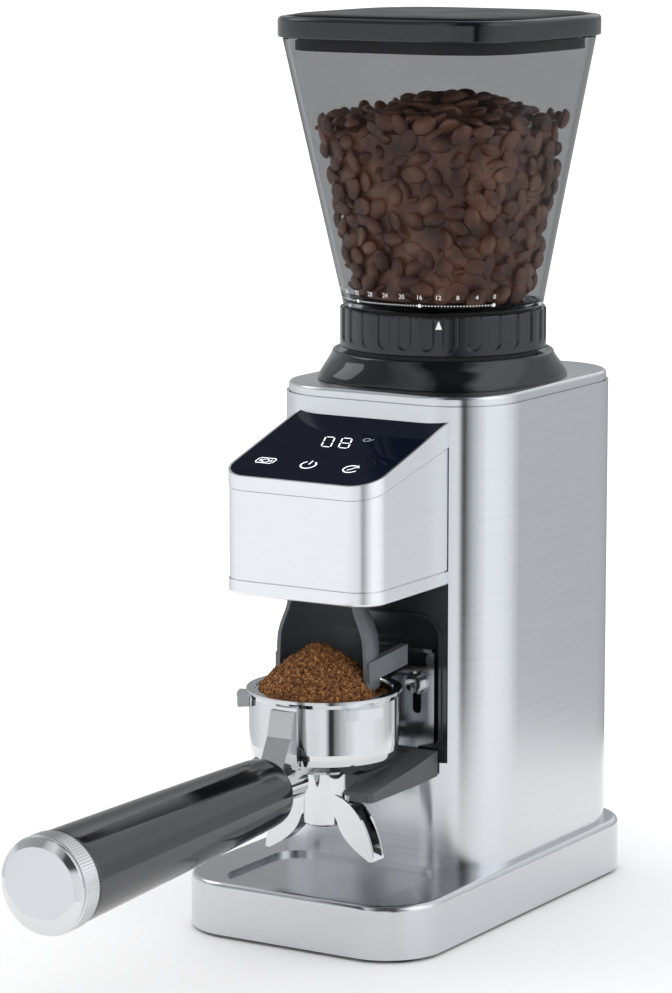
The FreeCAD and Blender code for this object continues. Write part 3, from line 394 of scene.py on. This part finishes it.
# ------------------------------------------------------------------ collar
def collar():
    L = [circle(42.7, 238.0), squircle(51.3, 54.0, 2.8, 237.7, cy=GY)]
    for z, a, b, e in [(238.1, 51.5, 54.3, 2.8), (239.0, 51.5, 54.2, 2.75), (241.0, 51.4, 53.5, 2.57), (243.0, 51.2, 52.7, 2.4), (245.0, 51.0, 51.9, 2.22), (247.0, 50.75, 51.0, 2.08)]:
        L.append(squircle(a, b, e, z, cy=GY))
    for r, z in [(50.5, 248.8), (50.3, 249.6), (49.8, 250.1), (49.2, 250.25), (48.6, 250.0), (48.3, 249.4), (42.7, 249.4)]:
        L.append(circle(r, z))
    v, f = loft(L, closed_ring=True)
    return make("collar_moulding", v, f, 'gloss_black', "housing", ("collar_ring",), sharp=45)


collar()


# ------------------------------------------------------------------ grind ring with finger pockets
def grind_ring():
    nu, NF = 28 * 28, 28
    R, z0, z1 = 46.8, 251.5, 269.75
    th = np.linspace(0, 2 * np.pi, nu, endpoint=False)
    ph = (np.degrees(th) - (27.5 - 90.0)) / (360.0 / NF)
    d = np.abs(ph - np.floor(ph) - 0.5) * (2 * np.pi * R / NF)     # mm from the pocket centre

    def prof(z):
        hw = 3.05
        zb = z0 + 3.0 + hw                      # centre of the round lower end
        if z >= zb:
            dist = hw - d
        else:
            dist = hw - np.sqrt(d ** 2 + (z - zb) ** 2)
        k = np.clip((dist + 0.15) / 0.55, 0, 1)
        k = k * k * (3 - 2 * k)
        groove = np.exp(-((dist - 0.1) / 0.28) ** 2) * 0.25
        return R - 0.75 * k - groove

    L = [circle(43.1, z0 + 0.3, nu), circle(R - 0.9, z0, nu), circle(R - 0.25, z0 + 0.15, nu), circle(R, z0 + 0.6, nu)]
    for z in list(np.linspace(z0 + 1.4, z0 + 7.0, 20)) + list(np.linspace(z0 + 7.6, z1 - 0.7, 8)):
        r = prof(z)
        L.append(np.stack([GX + r * np.cos(th), GY + r * np.sin(th), np.full(nu, z)], 1))
    r = prof(z1 - 0.7) - 0.25
    L.append(np.stack([GX + r * np.cos(th), GY + r * np.sin(th), np.full(nu, z1 - 0.2)], 1))
    r = r - 0.5
    L.append(np.stack([GX + r * np.cos(th), GY + r * np.sin(th), np.full(nu, z1)], 1))
    L.append(circle(43.1, z1, nu))
    v, f = loft(L, closed_ring=True)
    vs, fs = [v], list(f)
    base = len(v)
    for a in (0.0, 180.0):
        c = []
        for r_ in (35.4, 43.6):
            t = np.linspace(0, 2 * np.pi, 20, endpoint=False)
            p = np.stack([np.full(20, r_), 2.35 * np.cos(t), 258.0 + 2.35 * np.sin(t)], 1)
            ca, sa = math.cos(rad(a)), math.sin(rad(a))
            c.append(np.stack([GX + p[:, 0] * ca - p[:, 1] * sa, GY + p[:, 0] * sa + p[:, 1] * ca, p[:, 2]], 1))
        v2, f2 = loft(c, cap0=True, cap1=True)
        vs.append(v2)
        fs += [tuple(i + base for i in q) for q in f2]
        base += len(v2)
    return make("grind_ring_grip", np.concatenate(vs), fs, 'ring_black', "adjust_ring", ("grind_ring",), sharp=40)


grind_ring()

# ------------------------------------------------------------------ printed scale on the hopper
def text_mesh(body, size, align='CENTER'):
    cu = bpy.data.curves.new("txt", 'FONT')
    cu.body = body
    cu.size = size
    cu.align_x = align
    cu.align_y = 'CENTER'
    cu.resolution_u = 3
    ob = bpy.data.objects.new("txt", cu)
    bpy.context.scene.collection.objects.link(ob)
    bpy.context.view_layer.update()
    me = bpy.data.meshes.new_from_object(ob)
    v = np.array([p.co[:] for p in me.vertices])
    f = [tuple(p.vertices) for p in me.polygons]
    bpy.data.objects.remove(ob)
    bpy.data.curves.remove(cu)
    bpy.data.meshes.remove(me)
    return v, f


def disc(r, n=14):
    t = np.linspace(0, 2 * np.pi, n, endpoint=False)
    v = np.stack([r * np.cos(t), r * np.sin(t), np.zeros(n)], 1)
    return v, [tuple(range(n))]


def on_hopper(v, ang, z0):
    """wrap flat art (x right, y up, mm) on the hopper at an angle from -Y toward +X"""
    out = []
    for x, y, _ in v:
        z = z0 + y
        a, e, cy = hop_par(z, 0.15)
        t = rad(ang - 90.0) + x / 46.0
        c, s = math.cos(t), math.sin(t)
        r = (abs(c / a) ** e + abs(s / a) ** e) ** (-1.0 / e) + 0.07
        out.append((r * c, cy + r * s, z))
    return np.array(out)


def scale_print():
    vs, fs, base = [], [], 0

    def put(v, f):
        nonlocal base
        vs.append(v)
        fs.extend([tuple(i + base for i in q) for q in f])
        base += len(v)
    step = 2.65
    for k in range(0, 61):
        u = k * 4.0 / 6.0
        ang = 59.1 - step * u
        n = u / 4.0
        big = abs(u - 0) < 0.01 or abs(u - 16) < 0.01 or abs(u - 32) < 0.01
        v, f = disc(0.85 if big else 0.33)
        put(on_hopper(v, ang, 274.5), f)
        if abs(n - round(n)) < 0.01:
            v, f = text_mesh(str(int(round(u))), 2.9)
            put(on_hopper(v, ang, 278.2), f)
    return make("hopper_scale_print", np.concatenate(vs), fs, 'print', "hopper", smooth=False)


scale_print()

# ------------------------------------------------------------------ display art on the sloping glass
SL = math.atan((226.9 - 206.4) / 68.0)


def panel(u, v, h=0.09):
    return (u, -101.0 + v * math.cos(SL) - h * math.sin(SL), 206.4 + v * math.sin(SL) + h * math.cos(SL))


def stroke(pts, w, closed=False):
    """flat ribbon along a polyline in panel mm"""
    p = np.array(pts, float)
    n = len(p)
    L, R_ = [], []
    for i in range(n):
        if closed:
            a, b = p[(i - 1) % n], p[(i + 1) % n]
        else:
            a, b = p[max(0, i - 1)], p[min(n - 1, i + 1)]
        t = b - a
        t = t / (np.linalg.norm(t) + 1e-9)
        nn = np.array([-t[1], t[0]]) * w / 2
        L.append(p[i] + nn)
        R_.append(p[i] - nn)
    v = L + R_
    f = []
    for i in range(n if closed else n - 1):
        j = (i + 1) % n
        f.append((i, j, n + j, n + i))
    return v, f


def art(name, items, mat):
    vs, fs, base = [], [], 0
    for v, f in items:
        vs += [panel(x, y) for x, y in v]
        fs += [tuple(i + base for i in q)[::-1] for q in f]
        base += len(v)
    return make(name, vs, fs, mat, "housing", smooth=False)


def arc(cx, cy, r, a0, a1, n=28, k=1.0):
    return [(cx + r * math.cos(rad(a)), cy + k * r * math.sin(rad(a))) for a in np.linspace(a0, a1, n)]


def seven(x0, v0, w, h, segs):
    sh = -0.33
    g = 0.55
    half = h / 2
    S = {'a': [(g, h), (w - g, h)], 'd': [(g, 0), (w - g, 0)], 'g': [(g, half), (w - g, half)],
         'f': [(0, half + g), (0, h - g)], 'e': [(0, g), (0, half - g)], 'b': [(w, half + g), (w, h - g)], 'c': [(w, g), (w, half - g)]}
    out = []
    for s in segs:
        q = [(x0 + x + sh * y, v0 + y) for x, y in S[s]]
        out.append(stroke(q, 0.62))
    return out


digits = seven(-6.6, 35.6, 4.7, 9.6, 'abcdef') + seven(1.9, 35.9, 4.9, 9.6, 'abcdefg')
art("display_digits", digits, 'led')
icons = []
# cup key
icons.append(stroke([(-27.6, 14.6), (-20.6, 14.6), (-19.6, 15.6), (-19.4, 18.6), (-20.4, 19.6), (-27.4, 19.6), (-28.3, 18.6), (-28.4, 15.6)], 0.55, True))
icons.append(stroke(arc(-24.0, 16.9, 1.6, 0, 360, 20), 0.5, True))
icons.append(stroke([(-26.6, 16.0), (-26.6, 18.2)], 0.7))
icons.append(stroke([(-21.2, 16.0), (-21.2, 18.2)], 0.7))
# power key
icons.append(stroke(arc(-2.0, 16.8, 3.5, 125, 415, 30), 0.7))
icons.append(stroke([(-2.0, 17.2), (-2.0, 20.9)], 0.7))
# timer key
icons.append(stroke(arc(19.6, 16.6, 3.4, 40, 340, 30), 0.7))
icons.append(stroke([(21.2, 20.4), (22.6, 18.6), (20.4, 18.0)], 0.6))
icons.append(stroke([(18.4, 15.2), (20.6, 17.6)], 0.6))
art("touch_icons", icons, 'led')
glyph = [stroke(arc(10.9, 45.6, 1.5, 20, 330, 16), 0.45), stroke([(12.2, 44.2), (13.9, 46.6)], 0.45)]
art("display_glyph", glyph, 'led_dim')


# ------------------------------------------------------------------ coffee beans
def bean_mesh(nu=18, nv=10):
    """one bean, half lengths about 5.4 x 3.8 x 2.6 mm, flat side with a centre cut"""
    vs = []
    for i in range(nv + 1):
        ph = math.pi * i / nv
        for j in range(nu):
            t = 2 * math.pi * j / nu
            x = math.cos(ph)
            y = math.sin(ph) * math.cos(t)
            z = math.sin(ph) * math.sin(t)
            if z < 0:
                z *= 0.42
                cut = math.exp(-(y / 0.13) ** 2) * max(0.0, 1 - abs(x) ** 3)
                z += 0.33 * cut + 0.04 * math.sin(x * 3)
            X = 5.5 * x * (1 - 0.04 * y)
            Y = 3.9 * y
            Z = 3.0 * z
            vs.append((X, Y, Z))
    fs = []
    for i in range(nv):
        for j in range(nu):
            j2 = (j + 1) % nu
            fs.append((i * nu + j, i * nu + j2, (i + 1) * nu + j2, (i + 1) * nu + j))
    return np.array(vs), np.array(fs)


def rot_from(x, z):
    x = x / np.linalg.norm(x)
    z = z - x * (z @ x)
    z = z / np.linalg.norm(z)
    y = np.cross(z, x)
    return np.stack([x, y, z], 1)


def top_z(x, y):
    """height of the heap"""
    d2 = (x / 52.0) ** 2 + ((y - 25.0) / 52.0) ** 2
    return 354.0 + 12.0 * math.exp(-d2 * 2.3) + 1.6 * math.sin(x * 0.09 + 1.0) + 1.0 * math.cos(y * 0.11)


def beans():
    bv, bf = bean_mesh()
    pts, rots = [], []
    cell = {}
    dmin = 6.4

    def ok(p):
        k = tuple((p // dmin).astype(int))
        for a in (-1, 0, 1):
            for b in (-1, 0, 1):
                for c in (-1, 0, 1):
                    for q in cell.get((k[0] + a, k[1] + b, k[2] + c), ()):
                        if (q - p) @ (q - p) < dmin * dmin:
                            return False
        return True

    def depth(p, z):
        """distance inward from the inner wall, roughly"""
        a, e, cy = hop_par(z, 2.4)
        x, y = p[0], p[1] - cy
        r = math.hypot(x, y) + 1e-9
        c, s = x / r, y / r
        rr = (abs(c / a) ** e + abs(s / a) ** e) ** (-1.0 / e)
        return rr - r

    tries = 0
    while len(pts) < 1750 and tries < 60000:
        tries += 1
        z = 276.5 + (370.0 - 276.5) * RNG.random() ** 0.8
        a, e, cy = hop_par(z, 2.4)
        x, y = RNG.uniform(-a, a), cy + RNG.uniform(-a, a)
        p = np.array([x, y, z])
        dd = depth(p, z)
        if dd < 3.9:
            continue
        tz = top_z(x, y)
        if z > tz or z > 367.2:
            continue
        if dd > 14.0 and z < tz - 13.0:
            continue
        if not ok(p):
            continue
        k = tuple((p // dmin).astype(int))
        cell.setdefault(k, []).append(p)
        # lie along the wall near it, flat on the heap near the top, else any way
        rx = RNG.normal(size=3)
        if dd < 6.5:
            nrm = np.array([x, y - cy, -8.0])
            nrm = nrm / np.linalg.norm(nrm)
            sgn = 1.0 if RNG.random() < 0.72 else -1.0
            rx = rx - nrm * (rx @ nrm)
            R3 = rot_from(rx, sgn * nrm + 0.22 * RNG.normal(size=3))
        elif z > tz - 5:
            R3 = rot_from(rx * np.array([1, 1, 0.25]), np.array([0, 0, 1.0]) * (1 if RNG.random() < 0.7 else -1) + 0.35 * RNG.normal(size=3))
        else:
            R3 = rot_from(rx, RNG.normal(size=3))
        pts.append(p)
        rots.append(R3 * RNG.uniform(0.86, 1.06))
    V_, F = [], []
    n = len(bv)
    lo = 2.4 + 0.35
    for i, (p, R3) in enumerate(zip(pts, rots)):
        w = bv @ R3.T + p
        V_.append(w)
        F.append(bf + i * n)
    V_ = np.concatenate(V_)
    # keep every point inside the clear walls
    for k in range(len(V_)):
        x, y, z = V_[k]
        a, e, cy = hop_par(z, lo)
        r = math.hypot(x, y - cy) + 1e-9
        c, s = x / r, (y - cy) / r
        rr = (abs(c / a) ** e + abs(s / a) ** e) ** (-1.0 / e)
        if r > rr:
            V_[k, 0] = rr * c
            V_[k, 1] = cy + rr * s
        if z < 273.0:
            V_[k, 2] = 273.0
    ob = make("coffee_bean_heap", V_, np.concatenate(F).tolist(), 'bean', "hopper", ("coffee_beans",), sharp=80)
    # dark heart of the heap, so no light shows through between beans
    L = [circle(34.0, 273.2, 96)]
    for z in np.linspace(275.0, 350.0, 12):
        L.append(hop_loop(z, 8.5, 96))
    for sc, dz in ((0.85, 2.0), (0.6, 6.0), (0.3, 8.5)):
        a, e, cy = hop_par(350.0, 8.5)
        L.append(squircle(a * sc, a * sc, e, 350.0 + dz, 96, 0, cy))
    v, f = loft(L, cap0=True, cap1=True)
    make("coffee_bean_core", v, f, 'bean', "hopper")
    return ob


beans()

# ------------------------------------------------------------------ ground coffee
PF_Y = -75.2


def vnoise(x, y, s, seed=0):
    """smooth value noise"""
    r = np.random.default_rng(seed)
    tab = r.random((256, 256))
    X, Y = x / s, y / s
    xi, yi = np.floor(X).astype(int), np.floor(Y).astype(int)
    fx, fy = X - xi, Y - yi
    fx, fy = fx * fx * (3 - 2 * fx), fy * fy * (3 - 2 * fy)
    g = lambda a, b: tab[a % 256, b % 256]
    return (g(xi, yi) * (1 - fx) + g(xi + 1, yi) * fx) * (1 - fy) + (g(xi, yi + 1) * (1 - fx) + g(xi + 1, yi + 1) * fx) * fy


def heap_h(x, y):
    """surface of the grounds over the basket"""
    dx, dy = x + 0.5, y + 79.0
    d = np.sqrt((dx * 0.98) ** 2 + (dy * 1.02) ** 2)
    h = 133.2 - 0.66 * d - 0.004 * d * d - 1.6 * np.exp(-(d / 5.0) ** 2)
    h = np.maximum(h, 108.6 + 0 * d)
    # inside and behind the scoop the coffee stays between its walls
    w = np.interp(h, [112.2, 122.0, 130.0, 134.0, 138.0], [23.5, 23.2, 22.9, 22.5, 21.4]) - 2.2
    outside = (y > -78.6) & (np.sqrt(x ** 2 + np.maximum(0, y + 73.0) ** 2) > w)
    rr = np.sqrt(x ** 2 + (y - PF_Y) ** 2)
    h = np.where(outside, 107.6, h)
    h = np.minimum(h, 110.4 + np.maximum(0, 29.0 - rr) * 1.2)
    return h


def grounds():
    nr, na = 120, 260
    rr = np.linspace(0.0, 29.4, nr)
    th = np.linspace(0, 2 * np.pi, na, endpoint=False)
    Rg, Tg = np.meshgrid(rr, th, indexing='ij')
    X = Rg * np.cos(Tg)
    Y = PF_Y + Rg * np.sin(Tg)
    Z = heap_h(X, Y)
    Z = Z + (vnoise(X, Y, 3.2, 1) - 0.5) * 1.5 + (vnoise(X, Y, 1.1, 2) - 0.5) * 1.3
    edge = np.clip((Rg - 27.8) / 1.6, 0, 1)
    Z = Z - edge * 0.8
    loops = [np.stack([X[i], Y[i], Z[i]], 1) for i in range(nr - 1, 0, -1)]
    bot = [np.stack([0.93 * X[-1], PF_Y + 0.93 * (Y[-1] - PF_Y), np.full(na, 88.0)], 1)]
    v, f = loft(bot + loops, cap0=True)
    f.append(tuple(len(v) - na + j for j in range(na)))
    make("ground_coffee_heap", v, f, 'grounds', "portafilter", ("ground_coffee",), sharp=180)
    # loose granules over the surface
    V_, F, k = [], [], 0
    cube = np.array([[-1, -1, -1], [1, -1, -1], [1, 1, -1], [-1, 1, -1], [-1, -1, 1], [1, -1, 1], [1, 1, 1], [-1, 1, 1]], float)
    cf = [(0, 3, 2, 1), (4, 5, 6, 7), (0, 1, 5, 4), (1, 2, 6, 5), (2, 3, 7, 6), (3, 0, 4, 7)]
    N = 9000
    a = RNG.random(N) * 2 * np.pi
    r = 28.3 * np.sqrt(RNG.random(N))
    x, y = r * np.cos(a), PF_Y + r * np.sin(a)
    z = heap_h(x, y) + (vnoise(x, y, 3.2, 1) - 0.5) * 1.5 + (vnoise(x, y, 1.1, 2) - 0.5) * 1.3 + 0.12
    for i in range(N):
        # skip granules on the steep jump beside the scoop walls
        if y[i] > -79.6 and abs(math.hypot(x[i], max(0.0, y[i] + 73.0)) - 21.5) < 2.6:
            continue
        s = RNG.uniform(0.25, 0.62)
        q = RNG.normal(size=4)
        q /= np.linalg.norm(q)
        w_, x_, y_, z_ = q
        R3 = np.array([[1 - 2 * (y_ * y_ + z_ * z_), 2 * (x_ * y_ - z_ * w_), 2 * (x_ * z_ + y_ * w_)],
                       [2 * (x_ * y_ + z_ * w_), 1 - 2 * (x_ * x_ + z_ * z_), 2 * (y_ * z_ - x_ * w_)],
                       [2 * (x_ * z_ - y_ * w_), 2 * (y_ * z_ + x_ * w_), 1 - 2 * (x_ * x_ + y_ * y_)]])
        c = cube * np.array([s, s * RNG.uniform(0.6, 1.0), s * RNG.uniform(0.5, 0.9)]) * (1 + 0.25 * RNG.normal(size=(8, 1)))
        V_.append(c @ R3.T + np.array([x[i], y[i], z[i]]))
        F += [tuple(k + j for j in q2) for q2 in cf]
        k += 8
    make("ground_coffee_granules", np.concatenate(V_), F, 'grounds', "portafilter", sharp=180)


grounds()

# ------------------------------------------------------------------ portafilter handle details
HA = Vector((0, -1, -0.0253)).normalized()
H0 = Vector((0, -122.6, 74.3))
EX = Vector((1, 0, 0))
EZ = EX.cross(HA) * -1.0


def hloop(t, r, n=96, k=None):
    """ring round the handle axis at distance t; k = per-vertex radius factor"""
    a = np.linspace(0, 2 * np.pi, n, endpoint=False)
    rr = np.full(n, r) if k is None else r * k
    c = np.array(H0 + HA * t)
    return c + np.outer(rr * np.cos(a), np.array(EX)) + np.outer(rr * np.sin(a), np.array(EZ))


def handle():
    prof = [(0.05, 7.6), (0.05, 12.4), (0.3, 13.4), (0.9, 14.3), (1.8, 14.9), (3.2, 15.2)]
    for t in np.linspace(8, 146, 18):
        prof.append((t, 15.2 + (19.75 - 15.2) * (t / 146.0) ** 0.85))
    prof += [(151.0, 19.85), (153.0, 19.8), (153.6, 19.5), (153.85, 19.0), (153.85, 12.2)]
    v, f = loft([hloop(t, r) for t, r in prof], closed_ring=False)
    L2 = [hloop(t, r) for t, r in [(153.85, 5.3), (12.2, 5.3), (12.0, 7.5)]]
    v, f = loft([hloop(t, r) for t, r in prof] + L2, closed_ring=True)
    make("handle_grip_body", v, f, 'grip_black', "portafilter", ("handle_grip",), sharp=35)
    # knurled ring: diamonds
    n = 300
    a = np.arange(n)
    L = [hloop(153.95, 12.2, n), hloop(153.95, 19.6, n), hloop(154.15, 20.2, n)]
    ts = np.linspace(154.4, 162.7, 37)
    for i, t in enumerate(ts):
        p1 = np.mod(a / 3.0 + i / 3.0, 1.0)
        p2 = np.mod(a / 3.0 - i / 3.0, 1.0)
        k = 1.0 - 0.020 * np.maximum(np.abs(p1 - 0.5) * 2, np.abs(p2 - 0.5) * 2) ** 2
        L.append(hloop(t, 20.55, n, k))
    L += [hloop(162.95, 20.1, n), hloop(163.1, 19.6, n), hloop(163.1, 12.2, n)]
    v, f = loft(L, closed_ring=True)
    make("handle_knurl_band", v, f, 'chrome', "portafilter", ("handle_knurl_ring",), sharp=60)
    # end cap: plain band, wide bevel and a slightly domed face
    prof = [(154.0, 11.8), (163.2, 11.9), (163.25, 19.4), (163.5, 19.85), (164.3, 19.95), (164.8, 19.8), (166.4, 17.3), (166.75, 16.6), (167.0, 14.0), (167.12, 9.0), (167.15, 3.0)]
    v, f = loft([hloop(t, r) for t, r in prof], cap0=True, cap1=True)
    make("handle_cap_chrome", v, f, 'chrome', "portafilter", ("handle_end_cap",), sharp=30)


handle()

# CAD nodes that keep their shape: smooth curved faces
for n, ob in NODES.items():
    me = ob.data
    me.polygons.foreach_set("use_smooth", [True] * len(me.polygons))

# ------------------------------------------------------------------ floor and light
me = bpy.data.meshes.new("floor")
N = 96
t = np.linspace(0, 2 * np.pi, N, endpoint=False)
me.from_pydata([(0.38 * math.cos(a), -0.03 + 0.38 * math.sin(a), 0.0) for a in t], [], [tuple(range(N))])
fl = bpy.data.objects.new("floor", me)
bpy.context.scene.collection.objects.link(fl)
fm, nt, b = new_mat("pale_floor")
nn = noise(nt, (1, 1, 1), 3.0, 2.0)
nt.links.new(ramp(nt, nn, [(0.3, (0.90, 0.90, 0.903)), (0.7, (0.92, 0.92, 0.923))]), b.inputs["Base Color"])
b.inputs["Roughness"].default_value = 0.7
me.materials.append(fm)

w = bpy.data.worlds.new("studio")
bpy.context.scene.world = w
w.use_nodes = True
nt = w.node_tree
nt.nodes.clear()
out = nt.nodes.new("ShaderNodeOutputWorld")
tc = nt.nodes.new("ShaderNodeTexCoord")
sep = nt.nodes.new("ShaderNodeSeparateXYZ")
nt.links.new(tc.outputs["Generated"], sep.inputs[0])


def math_node(op, a, b_=None, c_=None):
    n = nt.nodes.new("ShaderNodeMath")
    n.operation = op
    for i, x in enumerate((a, b_, c_)):
        if x is None:
            continue
        if isinstance(x, (int, float)):
            n.inputs[i].default_value = x
        else:
            nt.links.new(x, n.inputs[i])
    return n.outputs[0]


ny = math_node('MULTIPLY', sep.outputs[1], -1.0)
phi = math_node('ARCTAN2', sep.outputs[0], ny)              # angle from the front toward +X
fac = math_node('ADD', math_node('DIVIDE', phi, 2 * math.pi), 0.5)
elev = math_node('ARCSINE', sep.outputs[2])


def env_ramp(stops):
    r = nt.nodes.new("ShaderNodeValToRGB")
    r.color_ramp.interpolation = 'EASE'
    el = r.color_ramp.elements
    while len(el) < len(stops):
        el.new(0.5)
    for e, (deg, v) in zip(el, stops):
        e.position = deg / 360.0 + 0.5
        e.color = (v * 0.975, v, v * 1.025, 1)
    nt.links.new(fac, r.inputs["Fac"])
    return r.outputs["Color"]


low = env_ramp([(-180, 0.42), (-150, 0.40), (-120, 0.70), (-70, 1.0), (-8, 1.05), (14, 0.92), (33, 1.0), (37, 0.55), (39.5, 0.03), (44, 0.03), (50, 0.36), (60, 0.66), (70, 0.88), (82, 1.08), (108, 1.05), (127, 0.92), (146, 0.68), (152, 0.56), (180, 0.50)])
high = env_ramp([(-180, 1.0), (-165, 0.9), (-146, 0.35), (-104, 0.6), (-66, 0.5), (-49, 0.42), (-36, 0.38), (-26, 0.7), (-14, 0.9), (0, 0.45), (8, 0.08), (50, 0.08), (62, 0.5), (80, 1.45), (104, 1.6), (121, 1.35), (137, 0.85), (160, 0.8), (180, 1.0)])
k1 = nt.nodes.new("ShaderNodeMapRange")
k1.interpolation_type = 'SMOOTHSTEP'
nt.links.new(elev, k1.inputs["Value"])
k1.inputs["From Min"].default_value = rad(6)
k1.inputs["From Max"].default_value = rad(16)
k2 = nt.nodes.new("ShaderNodeMapRange")
k2.interpolation_type = 'SMOOTHSTEP'
nt.links.new(elev, k2.inputs["Value"])
k2.inputs["From Min"].default_value = rad(58)
k2.inputs["From Max"].default_value = rad(70)


def wmix(f, a, b_):
    m = nt.nodes.new("ShaderNodeMix")
    m.data_type = 'RGBA'
    nt.links.new(f, m.inputs["Factor"])
    for s, x in ((6, a), (7, b_)):
        if isinstance(x, tuple):
            m.inputs[s].default_value = x
        else:
            nt.links.new(x, m.inputs[s])
    return m.outputs[2]


env = wmix(k1.outputs[0], low, high)
env = wmix(k2.outputs[0], env, (0.12, 0.12, 0.125, 1))
bg1 = nt.nodes.new("ShaderNodeBackground")
nt.links.new(env, bg1.inputs["Color"])
bg1.inputs["Strength"].default_value = 1.0
bg2 = nt.nodes.new("ShaderNodeBackground")
bg2.inputs["Color"].default_value = (1, 1, 1, 1)
bg2.inputs["Strength"].default_value = 1.25
lp = nt.nodes.new("ShaderNodeLightPath")
ms = nt.nodes.new("ShaderNodeMixShader")
clear = math_node('MULTIPLY', lp.outputs["Is Transmission Ray"], math_node('LESS_THAN', lp.outputs["Glossy Depth"], 0.5))
trans = math_node('MAXIMUM', lp.outputs["Is Camera Ray"], clear)
trans = math_node('MAXIMUM', trans, lp.outputs["Is Diffuse Ray"])
nt.links.new(trans, ms.inputs[0])
nt.links.new(bg1.outputs[0], ms.inputs[1])
nt.links.new(bg2.outputs[0], ms.inputs[2])
nt.links.new(ms.outputs[0], out.inputs["Surface"])

ld = bpy.data.lights.new("key", 'AREA')
ld.shape = 'RECTANGLE'
ld.size, ld.size_y = 1.2, 1.0
ld.energy = 6.0
lo = bpy.data.objects.new("key", ld)
bpy.context.scene.collection.objects.link(lo)
lo.location = (-1.75, -0.35, 1.7)
lo.rotation_euler = (Vector((0, 0, 0.15)) - lo.location).to_track_quat('-Z', 'Y').to_euler()
